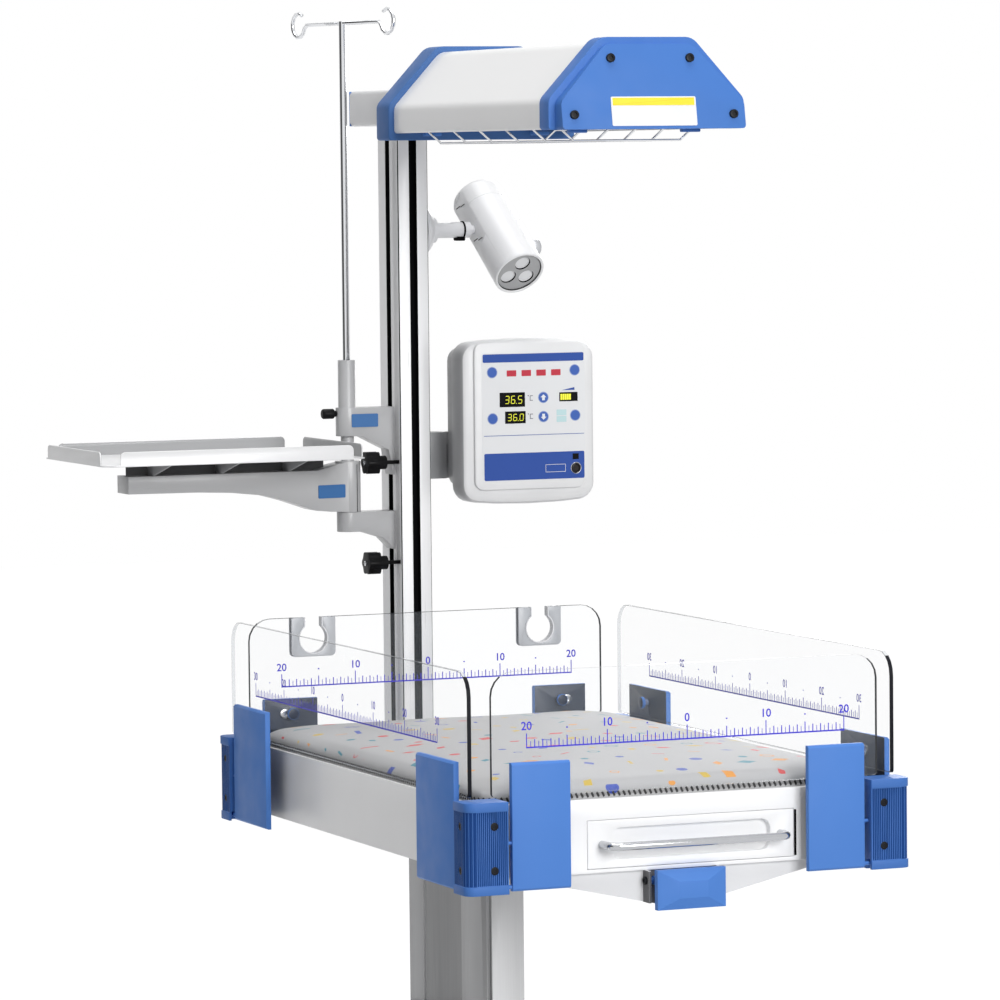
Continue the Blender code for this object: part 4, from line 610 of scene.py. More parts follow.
pad_low, pad_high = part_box("mattress")
pad = bare_copy("mattress", "mattress_pad")
pad_middle = (pad_low + pad_high) / 2
for vertex in pad.data.vertices:
    out = vertex.co - pad_middle
    vertex.co.x = pad_middle.x + out.x * (1 - 2 * pad_start_inset / (pad_high.x - pad_low.x))
    vertex.co.y = pad_middle.y + out.y * (1 - 2 * pad_start_inset / (pad_high.y - pad_low.y))
    vertex.co.z = pad_low.z + pad_rest + (vertex.co.z - pad_low.z) * pad_flatten
remesh = pad.modifiers.new("even", "REMESH")
remesh.mode = "VOXEL"
remesh.voxel_size = pad_voxel
apply_to(pad, "even")
soften = pad.modifiers.new("soften", "SMOOTH")
soften.factor = 0.5
soften.iterations = 6
apply_to(pad, "soften")
fill_pad(pad)
for vertex in pad.data.vertices:
    vertex.co.z = max(vertex.co.z, pad_low.z + pad_rest)
    vertex.co.x = min(max(vertex.co.x, pad_low.x), pad_high.x)
    vertex.co.y = min(max(vertex.co.y, pad_low.y), pad_high.y)
    dip = math.sin(vertex.co.x * crown_waves[0]) * math.sin(vertex.co.y * crown_waves[1] + crown_waves[2])
    if vertex.co.z > pad_high.z - crown_zone:
        vertex.co.z += dip * crown_dip
finer = pad.modifiers.new("finer", "SUBSURF")
finer.levels = 1
finer.render_levels = 1
apply_to(pad, "finer")
bpy.ops.object.shade_smooth()
laid_out = pad.data.uv_layers.new(name="laid")
for face in pad.data.polygons:
    n = face.normal
    for loop in face.loop_indices:
        x, y, z = pad.data.vertices[pad.data.loops[loop].vertex_index].co
        fall = pad_high.z - z
        if abs(n.z) > max(abs(n.x), abs(n.y)):
            laid_out.data[loop].uv = (x, y)
        elif abs(n.y) > abs(n.x):
            laid_out.data[loop].uv = (x, y + math.copysign(fall, n.y))
        else:
            laid_out.data[loop].uv = (x + math.copysign(fall, n.x), y)
dress(pad, printed_cover("printed_cover"))
stands_for(pad, "mattress")

# Zip: a narrow grey tape sewn round the lower edge of the cover, with a row of black slanting teeth.
# It stands a hair off the cover's side, and the teeth are one small moulded shape set in a row.
zip_height = bed_high.z + 0.0045
zip_pitch = 0.0066
tooth_size = (0.0026, 0.0014, 0.0060)
tooth_lean = math.radians(25)
tooth_edge = 0.0004
pad_corner = 0.026
tape_in, teeth_in, teeth_out = 0.0004, 0.0006, 0.0012
tape_step = 0.004
tape_rows = (-0.0050, -0.0012)
tape_thick = 0.0009
tape_grey = (0.42, 0.42, 0.425)
tooth_black = (0.012, 0.012, 0.013)


def round_the_pad(inset, corner, step):
    """Points and outward ways on a rounded rectangle round the pad's side."""
    x0, x1 = pad_low.x + inset, pad_high.x - inset
    y0, y1 = pad_low.y + inset, pad_high.y - inset
    turns = (((x1 - corner, y0 + corner), -90), ((x1 - corner, y1 - corner), 0),
             ((x0 + corner, y1 - corner), 90), ((x0 + corner, y0 + corner), 180))
    outline = []
    for (cx, cy), start in turns:
        for k in range(9):
            turn = math.radians(start + k * 90 / 8)
            outline.append(Vector((cx + corner * math.cos(turn), cy + corner * math.sin(turn), 0)))
    outline.append(outline[0])
    places, spare = [], 0.0
    for a, b in zip(outline, outline[1:]):
        run = (b - a).length
        if run < 1e-9:
            continue
        way = (b - a) / run
        at = spare
        while at < run:
            places.append((a + way * at, Vector((way.y, -way.x, 0))))
            at += step
        spare = at - run
    return places


tape_places = round_the_pad(tape_in, pad_corner, tape_step)
around = len(tape_places)
tape_mesh = bpy.data.meshes.new("mattress_zip_tape")
tape_mesh.from_pydata([(p.x, p.y, zip_height + dz) for dz in tape_rows for p, _ in tape_places], [],
                      [(k, (k + 1) % around, (k + 1) % around + around, k + around) for k in range(around)])
tape = placed("mattress_zip_tape", tape_mesh)
thicken = tape.modifiers.new("thick", "SOLIDIFY")
thicken.thickness = tape_thick
thicken.offset = 1
apply_to(tape, "thick")
dress(tape, moulding("zip_tape", tape_grey, 0.8, 1400, 0.3, 0.1))
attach(tape, "bed")
deselect()
bpy.ops.mesh.primitive_cube_add(size=1)
tooth = bpy.context.object
tooth.scale = tooth_size
bpy.ops.object.transform_apply(scale=True)
ease(tooth, tooth_edge, 1)
teeth = []
for place, out in round_the_pad(teeth_in, pad_corner, zip_pitch):
    copy = placed("mattress_zip_teeth", tooth.data.copy())
    side = out.to_track_quat("Y", "Z").to_matrix().to_4x4()
    lean = Matrix.Rotation(tooth_lean, 4, "Y")
    copy.data.transform(Matrix.Translation((*(place + out * teeth_out).xy, zip_height)) @ side @ lean)
    teeth.append(copy)
bpy.data.objects.remove(tooth)
joined("mattress_zip_teeth", teeth, moulding("zip_teeth", tooth_black, 0.4, 2000, 0.05), "bed")

# Corner blocks: fluted blue mouldings bolted on the bed's four corners, two screws to a face.
# The clamp plates' lower pins turn and latch in them. The rims stay plain above and below.
block_blue = (0.076, 0.218, 0.610)
block_blue_deep = (0.054, 0.162, 0.475)
block_edge = 0.0007
block_screw = 0.0047, 0.0012
block_screw_in = 0.017
block_screw_shares = (0.26, 0.74)
block_round = 0.012
block_rim = 0.010
block_sink = 0.001
flute_pitch = 0.00235
flute_radius = 0.00078
flute_skin = 0.00018
flute_blue = (0.014, 0.060, 0.235)
blue_moulding = moulding("blue_moulding", block_blue, 0.5, 1700, 0.05, 0.012, 0.25)
block_moulding = moulding("block_moulding", block_blue_deep, 0.5, 1700, 0.05, 0.012, 0.25)
flute_shade = moulding("flute_shade", flute_blue, 0.6, 1700, 0.05, 0.012, 0.1)


def cut_flutes(piece, low, high, side_x, side_y):
    """Cuts fine upright grooves round a block's sunk field, between its plain rims, and paints their faces a
    dark blue as painted shade.
    """
    outer_x = (high.x if side_x > 0 else low.x) - side_x * block_sink
    outer_y = (high.y if side_y > 0 else low.y) - side_y * block_sink
    inner_x = low.x if side_x > 0 else high.x
    inner_y = low.y if side_y > 0 else high.y
    turn_x, turn_y = outer_x - side_x * block_round, outer_y - side_y * block_round
    straight_x, straight_y = abs(turn_x - inner_x), abs(turn_y - inner_y)
    arc = block_round * math.pi / 2
    whole = straight_x + arc + straight_y
    count = int((whole - flute_pitch) / flute_pitch)
    start = (whole - (count - 1) * flute_pitch) / 2
    foot, head = low.z + block_rim + flute_radius, high.z - block_rim - flute_radius
    cutters = []
    for k in range(count):
        along = start + k * flute_pitch
        if along < straight_x:
            x, y = inner_x + side_x * along, outer_y
        elif along < straight_x + arc:
            turn = (along - straight_x) / block_round
            x = turn_x + side_x * block_round * math.sin(turn)
            y = turn_y + side_y * block_round * math.cos(turn)
        else:
            x, y = outer_x, turn_y - side_y * (along - straight_x - arc)
        deselect()
        bpy.ops.mesh.primitive_cylinder_add(vertices=8, radius=flute_radius, depth=head - foot,
                                            location=(x, y, (foot + head) / 2))
        cutters.append(bpy.context.object)
    deselect()
    for cutter in cutters:
        cutter.select_set(True)
    bpy.context.view_layer.objects.active = cutters[0]
    bpy.ops.object.join()
    tool = bpy.context.view_layer.objects.active
    groove = piece.modifiers.new("flutes", "BOOLEAN")
    groove.operation = "DIFFERENCE"
    groove.solver = "EXACT"
    groove.object = tool
    apply_to(piece, "flutes")
    bpy.data.objects.remove(tool)
    smooth(piece, 30)
    # The groove faces take a dark blue: painted shade in the flutes.
    piece.data.materials.append(flute_shade)
    for face in piece.data.polygons:
        x, y, z = face.center
        if foot <= z <= head and abs(face.normal.z) < 0.5:
            past_x, past_y = side_x * (x - turn_x), side_y * (y - turn_y)
            if past_x > 0 and past_y > 0:
                inside = block_round - math.hypot(past_x, past_y)
            else:
                inside = block_round - max(past_x, past_y)
            if flute_skin < inside < flute_radius * 1.1:
                face.material_index = 1


block_bolts = []
for corner in ("front_left", "front_right", "rear_left", "rear_right"):
    fluted = eased("corner_block_" + corner, block_edge, block_moulding)
    low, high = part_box("corner_block_" + corner)
    side_x = -1 if "left" in corner else 1
    side_y = -1 if "front" in corner else 1
    cut_flutes(fluted, low, high, side_x, side_y)
    for share in block_screw_shares:
        z = low.z + (high.z - low.z) * share
        end_x = (high.x if side_x < 0 else low.x) + side_x * block_screw_in
        end_y = low.y - stand_off if side_y < 0 else high.y + stand_off
        block_bolts.append(face_point("corner_block_" + corner, (end_x, end_y, z), (0, -side_y, 0)))
        end_y = (high.y if side_y < 0 else low.y) + side_y * block_screw_in
        end_x = low.x - stand_off if side_x < 0 else high.x + stand_off
        block_bolts.append(face_point("corner_block_" + corner, (end_x, end_y, z), (-side_x, 0, 0)))
set_screws("corner_block_screws", block_bolts, *block_screw, black_screw, "bed")

# Drawer: a folded steel tub, white inside and out, with a scooped front.
# It slides under the deck on two lips, and a bent bright rod is its handle. A black strip beside its right
# end is a painted shadow of the gap there.
drawer_edge = 0.0012
gap_shade_black = (0.002, 0.002, 0.0022)
gap_wide, gap_proud, gap_deep = 0.0026, 0.0004, 0.0010
gap_off = 0.0004
gap_short = 0.001
bar_bright = (0.70, 0.71, 0.73)
handle_bright = (0.50, 0.51, 0.53)
eased("drawer", drawer_edge, bed_coat)
gap_painted_shade = moulding("drawer_gap_painted_shade", gap_shade_black, 0.8, 2000, 0.05, gloss=0.05)


def strip(name, x0, y0, x1, y1, z0, z1, body, material):
    """A thin strip with eased edges, stood on its foot."""
    deselect()
    bpy.ops.mesh.primitive_cube_add(size=1, location=((x0 + x1) / 2, (y0 + y1) / 2, (z0 + z1) / 2))
    made = bpy.context.object
    made.name = name
    made.scale = (x1 - x0, y1 - y0, z1 - z0)
    bpy.ops.object.transform_apply(location=True, rotation=False, scale=True)
    ease(made, min(x1 - x0, y1 - y0, z1 - z0) * 0.3, 2)
    dress(made, material)
    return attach(made, body) if body else made


drawer_low, drawer_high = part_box("drawer")
# A black strip in the frame beside the drawer's right end: painted shadow of the gap.
gap_left = drawer_high.x + gap_off
strip("drawer_gap_painted_shade", gap_left, bed_low.y - gap_proud, gap_left + gap_wide, bed_low.y + gap_deep,
      drawer_low.z + gap_short, drawer_high.z - gap_short, "bed", gap_painted_shade)
bright_bar = metal("polished_bar", bar_bright, 0.10, (1, 1, 1), 0.02, 90, 0.02)
handle_metal = metal("handle_bar", handle_bright, 0.14, (1, 1, 1), 0.02, 90, 0.02)
eased("drawer_handle", 0, handle_metal, degrees=60)

# Drip pan: a folded steel tray under the bed with a shallow V underneath, white.
# A bent bracket in its front edge holds the pin that the tilt handle turns on. The bracket's faces round the
# tilt handle are painted dark grey, painted shade of the pocket there.
pan_edge = 0.0007
bracket_shade = (0.15, 0.15, 0.155)
bracket_beside, bracket_back, bracket_above = 0.022, -0.452, 0.004
tilt_pin_y, tilt_pin_z = -0.4705, 0.835
tilt_pin_cap = 0.0048, 0.0022
pin_hole_off = 0.0045
ear_off = 0.06
pan_bracket = moulding("pan_bracket_painted_shade", bracket_shade, 0.5, 1500, 0.05, gloss=0.2)
pan = eased("under_pan", pan_edge, white_coat, 1)
pan.data.materials.append(pan_bracket)
pin_caps = []
tilt_low, tilt_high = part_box("tilt_handle")
for x_from, way in ((tilt_low.x - ear_off, 1), (tilt_high.x + ear_off, -1)):
    from_side = (x_from, tilt_pin_y + pin_hole_off, tilt_pin_z + pin_hole_off)
    hit, _ = face_point("under_pan", from_side, (way, 0, 0))
    pin_caps.append(((hit.x, tilt_pin_y, tilt_pin_z), (-way, 0, 0)))
set_screws("tilt_pin_caps", pin_caps, *tilt_pin_cap, black_screw, "bed")
# Faces beside and behind the tilt handle take the dark grey: painted shade.
for face in pan.data.polygons:
    x, y, z = face.center
    beside = tilt_low.x - bracket_beside < x < tilt_high.x + bracket_beside
    if beside and y < bracket_back and z < tilt_high.z + bracket_above and face.area > 0.00004:
        face.material_index = 1

# Tilt handle: a blue moulding pulled down to free the bed's tilt lock.
# Its front rises in four flat slopes to a small oblong, and its corners are cut.
grip_face_share = (0.62, 0.61)
grip_corner = 0.004
grip_edge = 0.0007
grip_skin = 0.0005
grip_corner_x, grip_corner_z = 0.045, 0.022
tilt_grip = dress(bare_copy("tilt_handle", "tilt_handle_faceted"), blue_moulding)
grip_middle = (tilt_low + tilt_high) / 2
for vertex in tilt_grip.data.vertices:
    if vertex.co.y < tilt_low.y + grip_skin:
        vertex.co.x = grip_middle.x + (vertex.co.x - grip_middle.x) * grip_face_share[0]
        vertex.co.z = grip_middle.z + (vertex.co.z - grip_middle.z) * grip_face_share[1]
cut_edges = tilt_grip.data.attributes.new("bevel_weight_edge", "FLOAT", "EDGE")
for k, edge in enumerate(tilt_grip.data.edges):
    a, b = (tilt_grip.data.vertices[v].co for v in edge.vertices)
    level = abs(a.z - b.z) < grip_skin and abs(a.x - b.x) < grip_skin
    outer = abs(a.x - grip_middle.x) > grip_corner_x and abs(a.z - grip_middle.z) > grip_corner_z
    cut_edges.data[k].value = 1.0 if level and outer and abs(a.y - b.y) > grip_corner else 0.0
corner_cut = tilt_grip.modifiers.new("cut", "BEVEL")
corner_cut.limit_method = "WEIGHT"
corner_cut.width = grip_corner
corner_cut.segments = 1
apply_to(tilt_grip, "cut")
ease(tilt_grip, grip_edge, 2, 12)
stands_for(tilt_grip, "tilt_handle")

# Walls: four clear acrylic panels with rounded upper corners and polished edges.
# The faces pass nearly all light. The sawn edges are painted dark, painted shade for the light that leaves
# them elsewhere, and the top edges are painted pale, a painted highlight.
clear_alpha = 0.035
edge_dark = (0.003, 0.0035, 0.007)
top_edge_highlight = (0.60, 0.64, 0.68)
clear_tint = (0.80, 0.86, 0.92)
top_alpha = 0.42
wall_edge = 0.0004


def clear_sheet(name, colour, alpha, rough=0.04):
    made = new_finish(name, colour, rough)
    place = object_place(made)
    vary_rough(made, place, rough * 0.8, rough * 1.6, 6)
    shader = shader_of(made)
    shader.inputs["Alpha"].default_value = alpha
    shader.inputs["Specular IOR Level"].default_value = 0.5
    made.blend_method = "BLEND"
    return made


acrylic_face = clear_sheet("acrylic_face", clear_tint, clear_alpha)
acrylic_side = clear_sheet("acrylic_side_edge", edge_dark, 1.0, 0.35)
shader_of(acrylic_side).inputs["Specular IOR Level"].default_value = 0.15
acrylic_top = clear_sheet("acrylic_top_edge", top_edge_highlight, top_alpha, 0.10)
for side in ("front", "rear", "left", "right"):
    wall = bare_copy("wall_" + side, "wall_" + side + "_clear")
    dress(wall, acrylic_face, acrylic_side, acrylic_top)
    ease(wall, wall_edge, 1)
    thin = "y" if side in ("front", "rear") else "x"
    for face in wall.data.polygons:
        if abs(getattr(face.normal, thin)) > 0.9:
            face.material_index = 0
        elif abs(face.normal.z) > 0.80 or (thin == "x" and face.normal.y > 0.3):
            face.material_index = 2
        else:
            face.material_index = 1
    stands_for(wall, "wall_" + side)

# Rulers: centimetre scales printed in blue ink on the panels, counted out from the middle.
# The ink is a thin film on the inner face, with longer ticks at fives and tens,
# shorter ones at the halves, and a small dot over each five.
ruler_blue = (0.020, 0.010, 0.60)
ruler_line_height = 0.9985
ruler_film = 0.00012
tick_width = {"front": 0.0012, "rear": 0.0012, "left": 0.0016, "right": 0.0016}
tick_lengths = (0.0085, 0.0115, 0.0155)
half_tick = 0.0065
five_dot = 0.0021, 0.0195
base_bar = -0.0015, 0.0002
number_height = 0.0135
number_gap = 0.004
ink_swell = 0.00018
ink_gap = 0.0001
panel_half = 0.0025
ink = moulding("printed_scale", ruler_blue, 0.5, 800, 0.02, 0.02)


def film_box(x0, z0, x1, z1):
    """Corners and faces of a thin printed bar, flat in its own X and Z."""
    corners = [(x, y, z) for y in (0, ruler_film) for x, z in ((x0, z0), (x1, z0), (x1, z1), (x0, z1))]
    faces = [(0, 1, 2, 3), (7, 6, 5, 4), (0, 4, 5, 1), (1, 5, 6, 2), (2, 6, 7, 3), (3, 7, 4, 0)]
    return corners, faces


def printed_number(words, x, z, height):
    """A number as a thin printed mesh, flat in X and Z and read from -Y."""
    deselect()
    bpy.ops.object.text_add(location=(0, 0, 0))
    text = bpy.context.object
    text.data.body = words
    text.data.align_x = "CENTER"
    text.data.size = height
    text.data.extrude = ruler_film / 2
    text.data.offset = ink_swell
    text.data.resolution_u = 3
    bpy.ops.object.convert(target="MESH")
    text = bpy.context.object
    text.data.transform(Matrix.Translation((x, ruler_film / 2, z)) @ Matrix.Rotation(math.pi / 2, 4, "X"))
    return text


def make_ruler(side, reach, centre, face, turn):
    """Ticks and numbers out to a reach in centimetres each way, then set on a panel's face."""
    corners, faces = [], []
    wide = tick_width[side]
    for cm in range(-reach, reach + 1):
        length = tick_lengths[2 if cm % 10 == 0 else 1 if cm % 5 == 0 else 0]
        x = cm / 100
        more, around = film_box(x - wide / 2, 0, x + wide / 2, length)
        faces += [tuple(k + len(corners) for k in side_face) for side_face in around]
        corners += more
    bars = [(-reach / 100 - wide / 2, base_bar[0], reach / 100 + wide / 2, base_bar[1])]
    for cm in range(-reach, reach):
        bars.append((cm / 100 + 0.005 - wide * 0.3, 0, cm / 100 + 0.005 + wide * 0.3, half_tick))
    for cm in range(5 - reach, reach, 10):
        dot, foot = five_dot
        bars.append((cm / 100 - dot / 2, foot, cm / 100 + dot / 2, foot + dot * 0.7))
    for bar in bars:
        more, around = film_box(*bar)
        faces += [tuple(k + len(corners) for k in side_face) for side_face in around]
        corners += more
    mesh = bpy.data.meshes.new("ruler_" + side)
    mesh.from_pydata(corners, [], faces)
    scale = placed("ruler_" + side, mesh)
    parts = [scale]
    for cm in range(-reach, reach + 1, 10):
        parts.append(printed_number(str(abs(cm)), cm / 100, tick_lengths[2] + number_gap, number_height))
    turned = Matrix.Translation((centre.x, centre.y, ruler_line_height)) @ Matrix.Rotation(turn, 4, "Z")
    for part in parts:
        part.data.transform(turned @ Matrix.Translation((0, face, 0)))
    return joined("ruler_" + side, parts, ink, frame["nodes"]["wall_" + side]["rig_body"])


for side, reach, turn in (("front", 20, 0), ("rear", 20, 0), ("left", 30, -math.pi / 2),
                          ("right", 30, math.pi / 2)):
    low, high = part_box("wall_" + side)
    make_ruler(side, reach, (low + high) / 2, -panel_half - ruler_film - ink_gap, turn)

# Clamp plates: flat blue mouldings outside each panel, with bevelled rims and a dark lining inside.
# A stud through the panel holds each one to it.
plate_edge = 0.0008
lining_blue = (0.010, 0.020, 0.050)
clamp_stud = 0.0062, 0.0030
stud_height, stud_sink = 0.020, 0.0004
inside_off = 0.06
inward_of = {"front": (0, 1, 0), "rear": (0, -1, 0), "left": (1, 0, 0), "right": (-1, 0, 0)}
plate_lining = moulding("plate_lining", lining_blue, 0.35, 1500, 0.05, gloss=0.3)
for side, ends in (("front", ("left", "right")), ("rear", ("left", "right")),
                   ("left", ("front", "rear")), ("right", ("front", "rear"))):
    inward = Vector(inward_of[side])
    studs = []
    for end in ends:
        node = "clamp_plate_" + side + "_" + end
        plate = eased(node, plate_edge, blue_moulding)
        low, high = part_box(node)
        middle = (low + high) / 2
        plate.data.materials.append(plate_lining)
        for face in plate.data.polygons:
            if face.normal.dot(inward) > 0.95:
                face.material_index = 1
        stud_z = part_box("wall_" + side)[0].z + stud_height
        hit, _ = face_point(node, Vector((middle.x, middle.y, stud_z)) + inward * inside_off, -inward)
        studs.append((hit - inward * stud_sink, inward))
    body = frame["nodes"]["wall_" + side]["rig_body"]
    set_screws("clamp_studs_" + side, studs, *clamp_stud, bright_screw, body)

# Tube grommets: grey plastic plates let into the top of the rear panel, open at the top.
# Each clips over the panel on both sides, and a soft white lining edges its keyhole.
grommet_grey = (0.52, 0.54, 0.57)
grey_moulding = moulding("grey_moulding", grommet_grey, 0.36, 1800, 0.06)
lining_white = moulding("white_lining", (0.82, 0.83, 0.85), 0.55, 1200, 0.1)
lining_wall = 0.0014
lining_lip = 0.0004
grommet_edge = 0.0009
grommet_bore, grommet_neck, grommet_drop = 0.020, 0.0125, 0.027
grommet_steps = 32
for end in ("left", "right"):
    plate = eased("tube_grommet_" + end, grommet_edge, grey_moulding)
    low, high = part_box("tube_grommet_" + end)
    middle = Vector(((low.x + high.x) / 2, 0, high.z - grommet_drop))
    start = math.asin(grommet_neck / grommet_bore)
    outer = []
    for k in range(grommet_steps + 1):
        turn = math.pi / 2 + start + (2 * math.pi - 2 * start) * k / grommet_steps
        outer.append((grommet_bore * math.cos(turn), grommet_bore * math.sin(turn)))
    line = [(-grommet_neck, high.z - middle.z)] + outer + [(grommet_neck, high.z - middle.z)]
    corners, faces = [], []
    inner = []
    for k, (a, b) in enumerate(line):
        before, after = Vector(line[max(0, k - 1)]), Vector(line[min(len(line) - 1, k + 1)])
        way = (after - before).normalized()
        inner.append((a - way.y * lining_wall, b + way.x * lining_wall))
    for y in (low.y - lining_lip, high.y + lining_lip):
        for pair in (line, inner):
            corners += [(middle.x + a * 0.997, y, middle.z + b) for a, b in pair]
    n = len(line)
    for k in range(n - 1):
        faces += [(k, k + 1, n + k + 1, n + k), (2 * n + k, 3 * n + k, 3 * n + k + 1, 2 * n + k + 1),
                  (n + k, n + k + 1, 3 * n + k + 1, 3 * n + k), (k, 2 * n + k, 2 * n + k + 1, k + 1)]
    for k in (0, n - 1):
        faces.append((k, n + k, 3 * n + k, 2 * n + k))
    mesh = bpy.data.meshes.new("grommet_lining_" + end)
    mesh.from_pydata(corners, [], faces)
    lining = placed("grommet_lining_" + end, mesh)
    pick(lining)
    bpy.ops.object.mode_set(mode="EDIT")
    bpy.ops.mesh.select_all(action="SELECT")
    bpy.ops.mesh.normals_make_consistent(inside=False)
    bpy.ops.object.mode_set(mode="OBJECT")
    smooth(dress(lining, lining_white), 40)
    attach(lining, "bed")

# Upper column: a bright anodised extrusion with a slot in front and on each side. The faces inside the slots
# and the corner grooves are painted black, painted shade, and a black strip at the bottom of each slot is
# painted shade too.
slot_deep = 0.008
column_silver = (0.86, 0.862, 0.868)
column_sheen = 0.2
column_side = 0.021
column_edge = 0.0003
black_and_shade_colour = (0.003, 0.003, 0.0035)
strip_rise, strip_short = 0.050, 0.002
strip_half, strip_lift, strip_off = 0.0040, 0.0016, 0.0002
side_slot = 0.028, 0.043
side_strip_in, side_strip_thick = 0.001, 0.0014
drawn_column = metal("anodised_column", column_silver, 0.34, (1, 1, 0.02), 0.01, 420, 0.03)
shader_of(drawn_column).inputs["Metallic"].default_value = column_sheen
black_plastic_and_shade = moulding("black_plastic_and_shade", black_and_shade_colour, 0.7, 2000, 0.05, gloss=0.03)
column_low, column_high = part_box("upper_column")
column_middle = (column_low.x + column_high.x) / 2
column_half = (column_high.x - column_low.x) / 2
extrusion = eased("upper_column", column_edge, drawn_column, 1)
extrusion.data.materials.append(black_plastic_and_shade)
# Slot walls and corner-groove faces take the black: painted shade.
for face in extrusion.data.polygons:
    side_way = abs(face.center.x - column_middle)
    back_way = face.center.y - column_low.y
    in_front = side_way < 0.0049 and 0.0006 < back_way < slot_deep + 0.0005
    in_front = in_front or (0.0049 <= side_way < 0.0052 and 0.0006 < back_way < slot_deep)
    in_side = column_half - slot_deep - 0.0005 < side_way < column_half - 0.0006
    in_side = in_side and side_slot[0] - 0.0005 < back_way < side_slot[1] + 0.0005
    on_groove = abs(face.normal.x) > 0.5 and abs(face.normal.y) > 0.5 and back_way < 0.0016
    if abs(face.normal.z) < 0.5 and (in_front or in_side or on_groove):
        face.material_index = 1

# Black strips at the slot bottoms: painted shade.
strip_foot, strip_head = column_low.z + strip_rise, column_high.z - strip_short
slot_bottom = column_low.y + slot_deep
strip("black_plastic_and_shade_front", column_middle - strip_half, slot_bottom - strip_lift, column_middle + strip_half,
      slot_bottom - strip_off, strip_foot, strip_head, "lift", black_plastic_and_shade)
for way, end in ((-1, "left"), (1, "right")):
    bottom = column_middle + way * column_side - way * slot_deep
    x0, x1 = sorted((bottom + way * strip_off, bottom + way * side_strip_thick))
    strip("black_plastic_and_shade_" + end, x0, column_low.y + side_slot[0] + side_strip_in, x1,
          column_low.y + side_slot[1] - side_strip_in, strip_foot, strip_head, "lift", black_plastic_and_shade)

# Head arm: a flat white steel box that turns on the column's top and carries the heater head.
# A thin blue trim closes its rear end, and two screws hold the head's rear cap to it.
arm_edge, arm_tall = 0.0020, 0.045
swivel_axis, swivel_pin = Vector((0.0805, 0.3890)), 0.0058
trim_in, trim_gap, trim_thick = 0.0004, 0.0001, 0.0022
arm_screw = 0.0036, 0.0020
arm_screw_in = 0.018
arm = eased("head_arm", arm_edge, white_coat, 3)
arm_low, arm_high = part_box("head_arm")
arm_box_low = arm_high.z - arm_tall
for vertex in arm.data.vertices:
    out = vertex.co.xy - swivel_axis
    if vertex.co.z < arm_box_low - 0.0001 and out.length > swivel_pin:
        vertex.co.xy = swivel_axis + out.normalized() * swivel_pin
strip("head_arm_end", arm_low.x + trim_in, arm_high.y + trim_gap, arm_high.x - trim_in,
      arm_high.y + trim_thick, arm_box_low + trim_in, arm_high.z - trim_in, "head", blue_moulding)
arm_bolts = []
for x in (arm_low.x + arm_screw_in, arm_high.x - arm_screw_in):
    from_above = (x, arm_low.y + arm_screw_in, arm_high.z + stand_off)
    arm_bolts.append(face_point("head_arm", from_above, (0, 0, -1)))
set_screws("head_arm_screws", arm_bolts, *arm_screw, bright_screw, "head")

# Heater head: a white formed shell between two blue end caps with sloping shoulders.
# The front cap has a proud face with four black screws and a shallow blank recess for a label.
cap_edge = 0.0018
shell_round = 0.012
shell_white = (0.96, 0.961, 0.963)
cap_front_blue = (0.066, 0.195, 0.56)
cap_rear_shaded_blue = (0.060, 0.155, 0.40)
front_cap_screw = 0.0052, 0.0030
rear_cap_screw = 0.0042, 0.0024
front_screw_places = ((-0.050, 1.777), (0.050, 1.777), (-0.1006, 1.712), (0.1006, 1.712))
rear_screw_places = ((-0.090, 1.715), (0.090, 1.715))
shell_coat = new_finish("white_shell_coat", shell_white, 0.30)
mottle(shell_coat, object_place(shell_coat), shell_white, 0.004, 5, 1.0)
shell_shader = shader_of(shell_coat)
shell_shader.inputs["Coat Weight"].default_value = 0.15
shell_shader.inputs["Coat Roughness"].default_value = 0.12
head_shell = dress(bare_copy("head_shell", "head_shell_formed"), shell_coat)
shell_low, shell_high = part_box("head_shell")
folds = head_shell.data.attributes.new("bevel_weight_edge", "FLOAT", "EDGE")
for k, edge in enumerate(head_shell.data.edges):
    a, b = (head_shell.data.vertices[v].co for v in edge.vertices)
    lengthways = abs(a.y - b.y) > 0.9 * (shell_high.y - shell_low.y)
    folds.data[k].value = 1.0 if lengthways and a.z > shell_low.z + 0.02 else 0.0
soft_fold = head_shell.modifiers.new("fold", "BEVEL")
soft_fold.limit_method = "WEIGHT"
soft_fold.width = shell_round
soft_fold.segments = 6
soft_fold.use_clamp_overlap = True
apply_to(head_shell, "fold")
smooth(head_shell, 30)
stands_for(head_shell, "head_shell")
cap_moulding = moulding("cap_moulding", cap_front_blue, 0.5, 1700, 0.05, 0.012, 0.2)
# The rear cap is the same blue plastic as the front one, painted darker: painted shade.
rear_cap_painted_shade = moulding("rear_cap_painted_shade", cap_rear_shaded_blue, 0.5, 1700, 0.05, 0.012, 0.2)
eased("head_rear_cap", cap_edge, rear_cap_painted_shade, 3)
eased("head_front_cap", cap_edge, cap_moulding, 3)
cap_low, cap_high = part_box("head_front_cap")
cap_middle = (cap_low.x + cap_high.x) / 2
cap_screws = []
for x, z in front_screw_places:
    cap_screws.append(face_point("head_front_cap", (cap_middle + x, cap_low.y - stand_off, z), (0, 1, 0)))
set_screws("front_cap_screws", cap_screws, *front_cap_screw, black_screw, "head")
rear_screws = []
rear_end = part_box("head_rear_cap")[1].y
for x, z in rear_screw_places:
    rear_screws.append(face_point("head_rear_cap", (cap_middle + x, rear_end + stand_off, z), (0, -1, 0)))
set_screws("rear_cap_screws", rear_screws, *rear_cap_screw, black_screw, "head")

